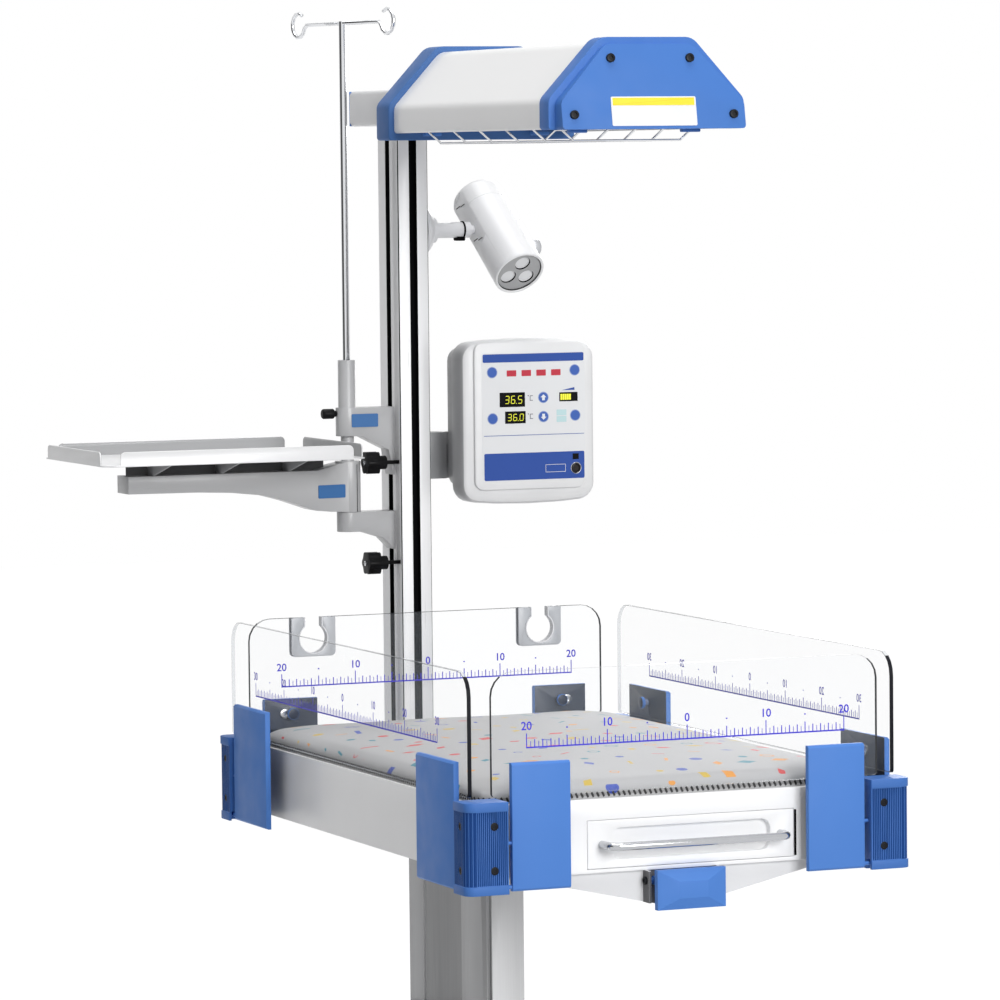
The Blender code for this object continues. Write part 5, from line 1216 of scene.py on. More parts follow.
# Label place: a blank pale printed plate with a yellow band across it, with no words on it.
# It is a thin sheet, stuck in the front cap's face.
label_pale = (0.80, 0.81, 0.82)
label_yellow = (0.92, 0.72, 0.005)
label_half, label_foot, label_head, label_proud = 0.0535, 1.699, 1.7326, 0.0007
band_half, band_foot, band_head, band_proud = 0.0515, 1.7225, 1.7312, 0.0010
plate_lift = 0.00004
plate_pale = moulding("blank_label", label_pale, 0.42, 900, 0.03)
band_yellow = moulding("label_band", label_yellow, 0.42, 900, 0.03)


def plate_on(node, name, x0, z0, x1, z1, proud, body, material, round_share=0.12):
    """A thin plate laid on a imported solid's front, following the slope of its face."""
    y_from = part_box(node)[0].y - stand_off
    corners = []
    for x, z in ((x0, z0), (x1, z0), (x1, z1), (x0, z1)):
        hit, _ = face_point(node, (x, y_from, z), (0, 1, 0))
        corners.append(hit)
    out = (corners[3] - corners[0]).cross(corners[1] - corners[0]).normalized()
    if out.y > 0:
        out = -out
    width, height = (corners[1] - corners[0]).length, (corners[3] - corners[0]).length
    deselect()
    bpy.ops.mesh.primitive_plane_add(size=1)
    made = bpy.context.object
    made.name = name
    made.data.transform(Matrix.Diagonal((width, height, 1, 1)))
    pick(made)
    bpy.ops.object.mode_set(mode="EDIT")
    bpy.ops.mesh.select_all(action="SELECT")
    if round_share:
        bpy.ops.mesh.bevel(offset=min(width, height) * round_share, segments=4, affect="VERTICES")
    bpy.ops.mesh.extrude_region_move(TRANSFORM_OT_translate={"value": (0, 0, proud)})
    bpy.ops.mesh.inset(thickness=min(proud, min(width, height) * 0.1))
    bpy.ops.mesh.select_all(action="SELECT")
    bpy.ops.mesh.normals_make_consistent(inside=False)
    bpy.ops.object.mode_set(mode="OBJECT")
    right = (corners[1] - corners[0]).normalized()
    up = out.cross(right).normalized()
    centre = sum(corners, Vector()) / 4 + out * plate_lift
    stand = Matrix((right, up, out)).transposed().to_4x4()
    made.data.transform(Matrix.Translation(centre) @ stand)
    smooth(made, 30)
    dress(made, material)
    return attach(made, body)


plate_on("head_front_cap", "front_cap_plate", cap_middle - label_half, label_foot, cap_middle + label_half,
         label_head, label_proud, "head", plate_pale, 0.05)
plate_on("head_front_cap", "front_cap_band", cap_middle - band_half, band_foot, cap_middle + band_half,
         band_head, band_proud, "head", band_yellow, 0.08)

# Reflector and heater: a bright folded reflector, a quartz tube down its middle with a wound coil in it,
# and a polished wire guard whose loops hang just under the shell.
reflector_bright = (0.82, 0.82, 0.82)
quartz_amber, quartz_alpha = (0.55, 0.30, 0.18), 0.45
coil_brown = (0.30, 0.22, 0.18)
coil_turns = 70
coil_steps = 12
coil_radius = 0.0034
coil_thick = 0.0005
coil_in = 0.012
clip_places = ((-0.072, -0.352), (0.072, -0.352), (-0.072, 0.094), (0.072, 0.094))
clip_half_wide, clip_half_deep = 0.011, 0.006
clip_foot, clip_head = 0.0075, 0.0032
reflector_metal = metal("bright_reflector", reflector_bright, 0.16, (1, 0.05, 1), 0.03, 160, 0.05)
eased("head_reflector", 0, reflector_metal)
quartz = clear_sheet("quartz_tube", quartz_amber, quartz_alpha, 0.08)
eased("heater_element", 0, quartz, degrees=60)
coil_wire = metal("coil_wire", coil_brown, 0.4)
tube_low, tube_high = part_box("heater_element")
deselect()
bpy.ops.curve.primitive_nurbs_path_add()
coil = bpy.context.object
coil.name = "heater_coil"
coil.data.splines.clear()
run = coil.data.splines.new("POLY")
run.points.add(coil_turns * coil_steps)
tube_middle = (tube_low + tube_high) / 2
coil_long = tube_high.y - tube_low.y - 2 * coil_in
for k, point in enumerate(run.points):
    turn = 2 * math.pi * k / coil_steps
    along = tube_low.y + coil_in + coil_long * k / (coil_turns * coil_steps)
    across, up = coil_radius * math.cos(turn), coil_radius * math.sin(turn)
    point.co = (tube_middle.x + across, along, tube_middle.z + up, 1)
coil.data.dimensions = "3D"
coil.data.bevel_depth = coil_thick
coil.data.bevel_resolution = 1
coil.data.use_fill_caps = True
pick(coil)
bpy.ops.object.convert(target="MESH")
coil = bpy.context.object
dress(coil, coil_wire)
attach(coil, "head")
eased("wire_guard", 0, bright_bar, degrees=70)
guard_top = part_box("wire_guard")[1].z
for k, (x, y) in enumerate(clip_places):
    x += cap_middle
    strip("guard_clip_" + str(k + 1), x - clip_half_wide, y - clip_half_deep, x + clip_half_wide,
          y + clip_half_deep, guard_top - clip_foot, guard_top - clip_head, "head", blue_moulding)

# Lamp: a white moulded tube on a short arm from the column, aimed down by a knurled knob on its side.
# Three round lenses sit in a dark plate inside its rim, and slots in its flank let heat out.
lamp_radius = 0.034
lamp_front = 0.086
lamp_back = 0.068
lamp_pitch = math.radians(41)
lamp_yaw = math.radians(6.6)
lamp_pivot = Vector((0.2073, 0.3725, 1.572))
lamp_steps = 96
lamp_pale = (0.84, 0.843, 0.85)
lamp_mount_edge = 0.0006
rim_inside = (0.06, 0.061, 0.064)
rim_reach, rim_deep = 0.0306, 0.0062
dome = ((0.50, 0.0002), (0.72, 0.0010), (0.86, 0.0030), (0.95, 0.0062), (0.995, 0.0100), (1.0, 0.0140))
seam_share, seam_places = 0.985, (-0.0335, -0.0331, -0.0325, -0.0321)
flat_size = 0.008, 0.040, 0.092
flat_deep, flat_along, flat_edge = 0.0036, -0.016, 0.0035
knurl_count = 28
knurl_share = 0.93
knob_radius, knob_long, knob_rise, knob_edge = 0.0100, 0.0150, 0.0080, 0.0005
knob_sink, knob_along = 0.0004, 0.036
knob_grey = (0.55, 0.56, 0.58)
vent_size = 0.0005, 0.0055, 0.0003
vent_sink, vent_slant = 0.0035, 0.5
vent_places = ((-0.006, -0.050), (0.004, -0.043), (-0.007, 0.012), (0.002, 0.020))
lens_plate_grey = (0.40, 0.405, 0.41)
lens_plate_reach, lens_plate_back, lens_plate_edge = 0.0296, 0.0058, 0.0004
plate_front = lamp_front - 0.0026
lens_floor = lamp_front - 0.0054
lens_ring_reach = 0.0150
lens_bore, lens_bore_steps = 0.0104, 48
lens_steps = 40
lens_pale = (0.80, 0.81, 0.82)
lamp_aim = Matrix.Translation(lamp_pivot) @ Matrix.Rotation(lamp_yaw, 4, "Z")
lamp_aim = lamp_aim @ Matrix.Rotation(math.pi / 2 + lamp_pitch, 4, "X")
eased("lamp_mount", lamp_mount_edge, white_coat, 2, 40)
lamp_white = moulding("lamp_moulding", lamp_pale, 0.33, 1700, 0.05)
r = lamp_radius
seam = zip((1.0, seam_share, seam_share, 1.0), seam_places)
lamp_outline = [(0.0, -lamp_back)] + [(r * share, -lamp_back + rise) for share, rise in dome]
lamp_outline += [(r * share, along) for share, along in seam]
lamp_outline += [(r, lamp_front - 0.0030), (r * 0.993, lamp_front - 0.0010), (r * 0.97, lamp_front),
                 (r * 0.92, lamp_front), (0.0302, lamp_front - 0.0010), (0.0300, lamp_front - 0.0060),
                 (0.0, lamp_front - 0.0060)]
lamp_dark = moulding("lamp_rim_inside", rim_inside, 0.5, 1700, 0.05, gloss=0.2)
body = revolve("lamp_shell", lamp_outline, lamp_steps, (0, 0, 0), (0, 0, 1))
bpy.ops.mesh.primitive_cube_add(size=1, location=(-r - flat_size[0] / 2 + flat_deep, 0, flat_along),
                                scale=flat_size)
flat_tool = bpy.context.object
ease(flat_tool, flat_edge, 1)


def cut_by(piece, tool):
    """Takes a tool's shape out of a piece and throws the tool away."""
    taken = piece.modifiers.new("taken", "BOOLEAN")
    taken.operation = "DIFFERENCE"
    taken.solver = "EXACT"
    taken.object = tool
    apply_to(piece, "taken")
    bpy.data.objects.remove(tool)


cut_by(body, flat_tool)
dress(body, lamp_white, lamp_dark)
for face in body.data.polygons:
    if face.center.xy.length < rim_reach and face.center.z > lamp_front - rim_deep:
        face.material_index = 1
body.data.transform(lamp_aim)
smooth(body, 35)
stands_for(body, "lamp_body")
deselect()
bpy.ops.mesh.primitive_cylinder_add(vertices=knurl_count * 2, radius=knob_radius, depth=knob_long,
                                    location=(0, 0, knob_rise))
lamp_knob = bpy.context.object
lamp_knob.data.transform(lamp_knob.matrix_world)
lamp_knob.matrix_world = Matrix.Identity(4)
for vertex in lamp_knob.data.vertices:
    if round(math.atan2(vertex.co.y, vertex.co.x) / (math.pi / knurl_count)) % 2:
        vertex.co.x *= knurl_share
        vertex.co.y *= knurl_share
ease(lamp_knob, knob_edge, 1, 50)
knob_at = lamp_aim @ Matrix.Translation((r - knob_sink, 0, knob_along)) @ Matrix.Rotation(math.pi / 2, 4, "Y")
lamp_knob.data.transform(knob_at)
lamp_knob.name = "lamp_aim_knob"
dress(lamp_knob, metal("knurled_knob", knob_grey, 0.3))
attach(lamp_knob, "lamp")
# The vent slots are small black marks on the flank flat: painted shade of the slots.
vents = []
for across, along in vent_places:
    vx, vy, vz = vent_size
    slot_piece = strip("lamp_vents", -vx, -vy, vx, vy, -vz, vz, None, None)
    stand = lamp_aim @ Matrix.Translation((-r + vent_sink, across, along))
    slanted = stand @ Matrix.Rotation(vent_slant, 4, "X")
    slot_piece.data.transform(slanted @ Matrix.Rotation(math.pi / 2, 4, "Y"))
    vents.append(slot_piece)
joined("lamp_vents", vents, black_plastic_and_shade, "lamp")
plate_grey = moulding("lens_plate", lens_plate_grey, 0.45)
plate_outline = [(0.0, lamp_front - lens_plate_back), (lens_plate_reach, lamp_front - lens_plate_back),
                 (lens_plate_reach, plate_front - lens_plate_edge),
                 (lens_plate_reach - lens_plate_edge, plate_front), (0.0, plate_front)]
lens_plate = revolve("lamp_face_plate", plate_outline, lamp_steps, (0, 0, 0), (0, 0, 1))
lens_places = []
for k in range(3):
    turn = math.pi / 2 + k * 2 * math.pi / 3
    lens_places.append(Vector((lens_ring_reach * math.cos(turn), lens_ring_reach * math.sin(turn), 0)))
for place in lens_places:
    deselect()
    bpy.ops.mesh.primitive_cylinder_add(vertices=lens_bore_steps, radius=lens_bore, depth=0.02,
                                        location=place + Vector((0, 0, lens_floor + 0.01)))
    cut_by(lens_plate, bpy.context.object)
dress(lens_plate, plate_grey, black_plastic_and_shade)
# Faces inside the lens bores take the black: painted shade round the lenses.
for face in lens_plate.data.polygons:
    reach = min((face.center.xy - place.xy).length for place in lens_places)
    if reach < lens_bore + 0.0002 and lens_floor - 0.0001 < face.center.z < plate_front - 0.0002:
        face.material_index = 1
lens_plate.data.transform(lamp_aim)
smooth(lens_plate, 35)
stands_for(lens_plate, "lamp_face")
lens_glass = new_finish("lens_glass", lens_pale, 0.12)
facets = node_in(lens_glass, "TexVoronoi", Scale=700.0)
wire(lens_glass, object_place(lens_glass), facets.inputs["Vector"])
lens_relief = node_in(lens_glass, "Bump", Strength=0.12, Distance=0.0004)
wire(lens_glass, facets.outputs["Distance"], lens_relief.inputs["Height"])
lens_shader = shader_of(lens_glass)
wire(lens_glass, lens_relief.outputs["Normal"], lens_shader.inputs["Normal"])
ring_outline = [(0.0091, 0.0001), (0.0098, 0.0001), (0.0098, 0.0010), (0.0094, 0.0012), (0.0091, 0.0010),
                (0.0091, 0.0001)]
lens_outline = [(0.0, 0.0008), (0.0060, 0.0007), (0.0088, 0.0006), (0.0092, 0.0002)]
rings, lenses = [], []
for place in lens_places:
    stand = lamp_aim @ Matrix.Translation(place + Vector((0, 0, lens_floor)))
    ring = revolve("lens_rings", ring_outline, lens_steps, (0, 0, 0), (0, 0, 1))
    ring.data.transform(stand)
    rings.append(smooth(ring))
    lens = revolve("lens_discs", lens_outline, lens_steps, (0, 0, 0), (0, 0, 1))
    lens.data.transform(stand)
    lenses.append(smooth(lens))
joined("lens_rings", rings, lamp_white, "lamp")
joined("lens_discs", lenses, lens_glass, "lamp")

# Lamp swivel: a thin black friction ring pressed on the lamp's tube, its black partly real and partly painted
# shade. A black block under the arm's end is a painted shadow beneath the tube.
nut_outline = [(0.0108, -0.0012), (0.0114, -0.0008), (0.0114, 0.0008), (0.0108, 0.0012), (0.0106, 0.0012),
               (0.0106, -0.0012), (0.0108, -0.0012)]
shadow_from, shadow_to, shadow_half = 0.1518, 0.1638, 0.0070
shadow_foot, shadow_head = 0.0140, 0.0085
nut_x, nut_steps = 0.1618, 36
strip("lamp_swivel_painted_shadow", shadow_from, lamp_pivot.y - shadow_half, shadow_to, lamp_pivot.y + shadow_half,
      lamp_pivot.z - shadow_foot, lamp_pivot.z - shadow_head, "lift", black_plastic_and_shade)
nut = revolve("lamp_swivel_nut", nut_outline, nut_steps, (nut_x, lamp_pivot.y, lamp_pivot.z), (1, 0, 0))
smooth(dress(nut, black_plastic_and_shade))
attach(nut, "lift")

# Control box: an off-white moulded case on a hinged bracket, with a raised front and a seam round it.
# A one-piece membrane covers the keys, and its colours are printed on its back, so little stands proud.
case_white = (0.79, 0.794, 0.80)
case_side_painted_shade = (0.33, 0.333, 0.34, 1)
hinge_shaded_grey = (0.36, 0.365, 0.375)
case_edge, front_edge, control_arm_edge, hinge_edge = 0.0045, 0.0016, 0.0010, 0.0008
mm = 0.001
panel_left, panel_top = 0.1458, 1.4140
panel_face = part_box("control_front")[0].y
overlay_thick = 0.0003
mark_thick = 0.0002
mark_gap = 0.00004
rim_thick, key_thick, window_thick, lit_thick = 0.00015, 0.00045, 0.0003, 0.0001
box_moulding = moulding("box_moulding", case_white, 0.36, 1600, 0.08)
hinge_shade_coat = coat("grey_powder_coat_painted_shade", hinge_shaded_grey, 0.36)
case_moulding = moulding("case_moulding", case_white, 0.38, 1600, 0.08, gloss=0.4)
# The case's sideways-facing faces shade towards dark grey: painted shade on its sides.
case_normal = node_in(case_moulding, "TexCoord")
case_axes = node_in(case_moulding, "SeparateXYZ")
wire(case_moulding, case_normal.outputs["Normal"], case_axes.inputs["Vector"])
side_shade_share = node_in(case_moulding, "MapRange", From_Min=0.30, From_Max=1.0)
wire(case_moulding, math_node(case_moulding, "ABSOLUTE", case_axes.outputs["X"]), side_shade_share.inputs["Value"])
case_colour = shader_of(case_moulding).inputs["Base Color"]
shaded = layer(case_moulding, case_colour.links[0].from_socket, case_side_painted_shade, side_shade_share.outputs["Result"])
wire(case_moulding, shaded, case_colour)
eased("control_case", case_edge, case_moulding, 4, 24)
eased("control_front", front_edge, box_moulding, 3)
# The arm and hinge take a darker grey than the brackets: their grey coat with painted shade, as they sit in
# the box's shadow.
eased("control_arm", control_arm_edge, hinge_shade_coat)
eased("control_hinge", hinge_edge, hinge_shade_coat)
overlay_grey = moulding("membrane", (0.79, 0.80, 0.812), 0.42, 1100, 0.02, 0.006, 0.3)
panel_blue = moulding("membrane_blue", (0.034, 0.088, 0.365), 0.45, 1100, 0.02, 0.01, 0.15)
key_blue = moulding("key_blue", (0.055, 0.130, 0.46), 0.42, 1100, 0.02, 0.01, 0.2)
panel_red = moulding("membrane_red", (0.55, 0.04, 0.065), 0.38, 1100, 0.02, 0.02, 0.2)
panel_cyan = moulding("membrane_cyan", (0.52, 0.72, 0.74), 0.40, 1100, 0.04, 0.02)
panel_black = moulding("display_window", (0.003, 0.003, 0.004), 0.2, 900, 0.02, gloss=0.1)
panel_white = moulding("membrane_white", (0.82, 0.84, 0.86), 0.40, 1100, 0.04, 0.02)


def lit(name, colour, strength):
    made = new_finish(name, colour, 0.3)
    shader = shader_of(made)
    mottle(made, object_place(made), colour, 0.06, 900)
    shader.inputs["Emission Color"].default_value = (*colour, 1)
    shader.inputs["Emission Strength"].default_value = strength
    return made


segment_light = lit("lit_segments", (0.72, 0.72, 0.03), 0.5)


def flat_shape(name, outline, back, thick):
    """A printed or raised shape, its outline in millimetres right and down from the panel's corner."""
    n = len(outline)
    corners = [(panel_left + u * mm, y, panel_top - v * mm) for y in (back, back - thick) for u, v in outline]
    faces = [tuple(range(n)), tuple(range(2 * n - 1, n - 1, -1))]
    faces += [(k, n + k, n + (k + 1) % n, (k + 1) % n) for k in range(n)]
    mesh = bpy.data.meshes.new(name)
    mesh.from_pydata(corners, [], faces)
    made = placed(name, mesh)
    pick(made)
    bpy.ops.object.mode_set(mode="EDIT")
    bpy.ops.mesh.select_all(action="SELECT")
    bpy.ops.mesh.normals_make_consistent(inside=False)
    bpy.ops.object.mode_set(mode="OBJECT")
    return made


def round_outline(u0, v0, u1, v1, corner, steps=4):
    outline = []
    turns = (((u1 - corner, v0 + corner), -90), ((u1 - corner, v1 - corner), 0),
             ((u0 + corner, v1 - corner), 90), ((u0 + corner, v0 + corner), 180))
    for (cu, cv), start in turns:
        for k in range(steps + 1):
            turn = math.radians(start + 90 * k / steps)
            outline.append((cu + corner * math.cos(turn), cv + corner * math.sin(turn)))
    return outline


def disc_outline(u, v, radius, steps=36):
    return [(u + radius * math.cos(2 * math.pi * k / steps), v + radius * math.sin(2 * math.pi * k / steps))
            for k in range(steps)]


def panel_piece(name, outlines, material, lift=0.0, thick=mark_thick):
    """Shapes of one colour, laid on the membrane and joined."""
    back = panel_face - mark_gap - lift
    parts = [flat_shape(name, outline, back, thick) for outline in outlines]
    joined(name, parts, material, "control_box")


panel_piece("control_membrane", [round_outline(-1.5, -1.5, 142, 163.2, 3, 6)], overlay_grey, 0.0,
            overlay_thick)
panel_piece("control_bands", [round_outline(0, 0, 140.5, 10.6, 1.8),
                              round_outline(1.0, 127, 140.5, 161.8, 2.0),
                              round_outline(0.8, 104.0, 140.3, 104.7, 0.2)], panel_blue, overlay_thick)
panel_piece("control_indicators", [round_outline(33.2 + 20.6 * k, 21.0, 46.4 + 20.6 * k, 28.8, 0.6)
                                   for k in range(4)], panel_red, overlay_thick)
rim_blue = moulding("key_rim_blue", (0.30, 0.38, 0.62), 0.42, 1100, 0.04, 0.02)
key_places = ((12.9, 23.2), (127.9, 22.5), (83.8, 56.8), (83.8, 81.4), (13.2, 82.4), (128.2, 80.7))
panel_piece("control_key_rims", [disc_outline(u, v, 7.3) for u, v in key_places], rim_blue, overlay_thick,
            rim_thick)
panel_piece("control_keys", [disc_outline(u, v, 6.3) for u, v in key_places], key_blue, overlay_thick,
            key_thick)
panel_piece("control_displays", [round_outline(23.1, 49.4, 58.1, 67.9, 0.3),
                                 round_outline(30.4, 73.6, 58.9, 89.2, 0.3),
                                 round_outline(106.1, 50.9, 131.7, 62.5, 0.3),
                                 round_outline(124.0, 130.0, 132.5, 137.5, 0.5)],
            panel_black, overlay_thick, window_thick)

# Display digits: seven lit bars to a digit behind a dark window, leaning a little to the right.
# The arrows, the frame and the degree signs beside them are printed on the membrane.
segment_lean = 0.08
lit_bars = {"3": "abcdg", "0": "abcdef", "6": "acdefg", "5": "acdfg"}


def digit_bars(figure, u, v, wide, high):
    """Outlines of the lit bars of one digit, from its upper left corner."""
    half = high / 2
    thick = wide * 0.17
    ends = {"a": (0, 0, wide, 0), "b": (wide, 0, wide, half), "c": (wide, half, wide, high),
            "d": (0, high, wide, high), "e": (0, half, 0, high), "f": (0, 0, 0, half),
            "g": (0, half, wide, half)}
    outlines = []
    for bar_name in lit_bars[figure]:
        x0, y0, x1, y1 = ends[bar_name]
        run = Vector((x1 - x0, y1 - y0)).normalized()
        side = Vector((-run.y, run.x)) * thick / 2
        a = Vector((x0, y0)) + run * thick * 0.22
        b = Vector((x1, y1)) - run * thick * 0.22
        tip = run * thick / 2
        points = [a, a + tip + side, b - tip + side, b, b - tip - side, a + tip - side]
        outlines.append([(u + p.x + (high - p.y) * segment_lean, v + p.y) for p in points])
    return outlines


bars = []
for k, figure in enumerate("365"):
    bars += digit_bars(figure, 30.5 + 8.3 * k + (1.4 if k == 2 else 0), 54.0, 5.0, 9.4)
for k, figure in enumerate("360"):
    bars += digit_bars(figure, 34.0 + 7.7 * k + (1.2 if k == 2 else 0), 77.3, 4.6, 8.2)
bars += [disc_outline(45.9, 63.4, 0.55, 12), disc_outline(48.4, 85.5, 0.5, 12)]
window_face = overlay_thick + window_thick
panel_piece("control_digits", bars, segment_light, window_face, lit_thick)
panel_piece("control_power_bars", [round_outline(107.7 + 3.0 * k, 53.0, 110.2 + 3.0 * k, 60.6, 0.2, 2)
                                   for k in range(5)], segment_light, window_face, lit_thick)
arrows = []
for v, way in ((56.8, -1), (81.4, 1)):
    half_arrow = ((4.0 * way, way * 0.2), (1.9 * way, way * 0.2), (1.9 * way, -way * 3.6))
    arrow = [(0.0, way * 4.0)] + list(half_arrow) + [(-a, b) for a, b in reversed(half_arrow)]
    arrows.append([(83.8 + a, v + b) for a, b in arrow])
frame_lines = [round_outline(*sides, 0.1, 1) for sides in ((86, 143, 114, 143.5), (86, 152.5, 114, 153),
                                                           (86, 143, 86.5, 153), (113.5, 143, 114, 153))]
panel_piece("control_white_marks", arrows + frame_lines, panel_white, overlay_thick + key_thick, lit_thick)
degree_marks = []
for v, size in ((57.0, 1.0), (80.5, 0.9)):
    degree_marks.append(disc_outline(62.8, v - 3.0, 0.75 * size, 16))
    degree_marks.append(round_outline(65.0, v - 2.6, 65.8, v + 3.2, 0.3, 2))
    degree_marks.append(round_outline(65.0, v - 3.2, 69.2, v - 2.4, 0.3, 2))
    degree_marks.append(round_outline(65.0, v + 2.6, 69.2, v + 3.4, 0.3, 2))
overlay_ink = moulding("membrane_ink", (0.10, 0.11, 0.14), 0.45, 1100, 0.04)
panel_piece("control_marks", degree_marks, overlay_ink, overlay_thick)
panel_piece("control_power_scale", [[(109.5, 48.2), (127.4, 44.6), (127.4, 48.2)]], panel_blue, overlay_thick)
panel_piece("control_mode_window", [round_outline(102.2, 72.9, 115.8, 80.4, 0.5),
                                    round_outline(102.2, 81.4, 115.8, 88.9, 0.5)], panel_cyan, overlay_thick)
socket_steps = 40
socket_outline = [(0.0, 0.0003), (0.0040, 0.0003), (0.0044, 0.0016), (0.0050, 0.0022), (0.0060, 0.0020),
                  (0.0066, 0.0010), (0.0068, -0.0001)]
socket_at = (panel_left + 128.5 * mm, panel_face - overlay_thick - 0.0001, panel_top - 148.6 * mm)
socket = revolve("probe_socket", socket_outline, socket_steps, socket_at, (0, -1, 0))
smooth(dress(socket, moulding("socket_plastic", (0.012, 0.010, 0.010), 0.4, 2000, 0.05, gloss=0.2)))
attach(socket, "control_box")
ring_line = [(0.0066, 0.0), (0.0074, 0.0), (0.0074, 0.0008), (0.0070, 0.0011), (0.0066, 0.0009),
             (0.0066, 0.0)]
socket_ring = revolve("probe_socket_ring", ring_line, socket_steps, socket_at, (0, -1, 0))
smooth(dress(socket_ring, bright_bar))
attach(socket_ring, "control_box")

# Drip pole: a grey die-cast bracket in the column's left slot, a bright pole with two open hooks,
# and a small black clamp screw. A blank blue plate is let into the bracket's front.
bracket_grey = (0.46, 0.463, 0.47)
bracket_edge = 0.0014
pole_bright = (0.72, 0.73, 0.75)
moulded_black = (0.004, 0.004, 0.0045)
iv_knob_edge = 0.0006
plate_blue, plate_proud = (0.02, 0.13, 0.36), 0.0008
iv_plate = 0.0005, 1.3215, 0.0370, 1.3385
bracket_coat = coat("bracket_coat", bracket_grey, 0.34)
eased("iv_bracket", bracket_edge, bracket_coat, 2, 32)
eased("tray_bracket", bracket_edge, bracket_coat, 2, 32)
pole_chrome = metal("bright_pole", pole_bright, 0.08, (1, 1, 0.05), 0.03, 120, 0.03)
eased("iv_pole", 0, pole_chrome, degrees=70)
knob_black = moulding("knob_moulding", moulded_black, 0.42, 1500, 0.08, gloss=0.12)
eased("iv_knob", iv_knob_edge, knob_black, 2, 40)
blank_blue = moulding("blank_blue_plate", plate_blue, 0.4, 1000, 0.03)
plate_on("iv_bracket", "iv_bracket_plate", *iv_plate, plate_proud, "lift", blank_blue, 0.08)

# Tray: a shallow folded steel tray, pale grey-white, on a tapering die-cast arm that swings on the bracket.
# Its wall stops short at the corners, and three ribs carry it on the arm.
tray_white = (0.78, 0.783, 0.79)
tray_shade = (0.34, 0.343, 0.35)
lip_round = 0.0065
lip_skin, lip_thick, floor_rise, lip_tall = 0.0005, 0.004, 0.02, 0.021
tray_edge, tray_arm_edge = 0.0005, 0.0016
seam_from, seam_to, seam_foot, seam_head, seam_proud = 0.0100, 0.0092, 1.2130, 1.2740, 0.0003
arm_plate = -0.0490, 1.2320, -0.0100, 1.2490
shade_sheet_grey = (0.12, 0.12, 0.123)
shade_sheet_in, shade_sheet_short, shade_sheet_half, shade_sheet_foot, shade_sheet_head = 0.004, 0.050, 0.001, 1.2560, 1.2862
tray_coat = coat("tray_coat", tray_white, 0.33)
tray_inside = coat("tray_inside_painted_shade", tray_shade, 0.4)
tray_folded = dress(bare_copy("tray", "tray_folded"), tray_coat, tray_inside)
tray_low, tray_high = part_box("tray")
tray_middle = (tray_low + tray_high) / 2
lip_ends = tray_folded.data.attributes.new("bevel_weight_edge", "FLOAT", "EDGE")
for k, edge in enumerate(tray_folded.data.edges):
    a, b = (tray_folded.data.vertices[v].co for v in edge.vertices)
    across_lip = min(a.z, b.z) > tray_high.z - lip_skin and (a - b).length < lip_thick
    lip_ends.data[k].value = 1.0 if across_lip else 0.0
rounded = tray_folded.modifiers.new("rounded", "BEVEL")
rounded.limit_method = "WEIGHT"
rounded.width = lip_round
rounded.segments = 5
apply_to(tray_folded, "rounded")
# Inner wall faces, the underside and the low faces take the darker grey: painted shade inside and under the
# tray.
for face in tray_folded.data.polygons:
    inward = (tray_middle - face.center).xy
    on_wall = face.center.z > tray_low.z + floor_rise and abs(face.normal.z) < 0.3
    faces_in = on_wall and inward.dot(face.normal.xy) > 0.05
    if faces_in or face.normal.z < -0.5 or face.center.z < tray_high.z - lip_tall:
        face.material_index = 1
ease(tray_folded, tray_edge, 1)
smooth(tray_folded, 35)
stands_for(tray_folded, "tray")
eased("tray_arm", tray_arm_edge, bracket_coat, 2, 32)
arm_end_low, arm_end_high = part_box("tray_arm")
plate_on("tray_arm", "tray_arm_seam", arm_end_high.x - seam_from, seam_foot, arm_end_high.x - seam_to,
         seam_head, seam_proud, "tray", black_plastic_and_shade, 0)
plate_on("tray_arm", "tray_arm_plate", *arm_plate, plate_proud, "tray", blank_blue, 0.08)
# A thin dark sheet along the arm under the tray: painted shade beneath the tray, not a real part.
shade_sheet_coat = moulding("tray_under_painted_shade", shade_sheet_grey, 0.5, 1500, 0.05, gloss=0.2)
arm_middle_y = (arm_end_low.y + arm_end_high.y) / 2
strip("tray_under_shade_sheet", arm_end_low.x + shade_sheet_in, arm_middle_y - shade_sheet_half, arm_end_high.x - shade_sheet_short,
      arm_middle_y + shade_sheet_half, shade_sheet_foot, shade_sheet_head, "tray", shade_sheet_coat)

# Clamp knobs: black lobed mouldings on screws that draw the brackets tight in the column's slot.
# Each has a turned face with a shallow dish, and a bright screw end shows in its middle.
clamp_knob_edge = 0.0012
screw_end = 0.0032, 0.0016
for which in ("upper", "lower"):
    node = "clamp_knob_" + which
    eased(node, clamp_knob_edge, knob_black, 2, 40)
    low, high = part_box(node)
    middle = (low + high) / 2
    hit, _ = face_point(node, (low.x - stand_off, middle.y, middle.z), (1, 0, 0))
    set_screws(node + "_screw", [(hit, (-1, 0, 0))], *screw_end, bright_screw, node)

# Stage: a pale floor and a pale world, two wide soft lamps and an overhead one, and the camera.
# Floor and world look white to the camera and in glossy surfaces, and the object is lit plainly.
# The camera stands where the photograph was taken from.
floor_size = 30.0
floor_pale = (0.45, 0.45, 0.455)
floor_glow = 1.215
floor_glow_share = 0.75
deselect()
bpy.ops.mesh.primitive_plane_add(size=floor_size, location=(0, 0, -0.0005))
floor = bpy.context.object
floor.name = "floor"
floor_paint = new_finish("pale_floor", floor_pale, 0.9)
shader_of(floor_paint).inputs["Specular IOR Level"].default_value = 0.1


def seen_directly(made):
    """1 for rays from the camera, a glossy surface or a clear one, and 0 for the light on the object."""
    rays = node_in(made, "LightPath")
    first = math_node(made, "MAXIMUM", rays.outputs["Is Camera Ray"], rays.outputs["Is Glossy Ray"])
    return math_node(made, "MAXIMUM", first, rays.outputs["Is Transmission Ray"])


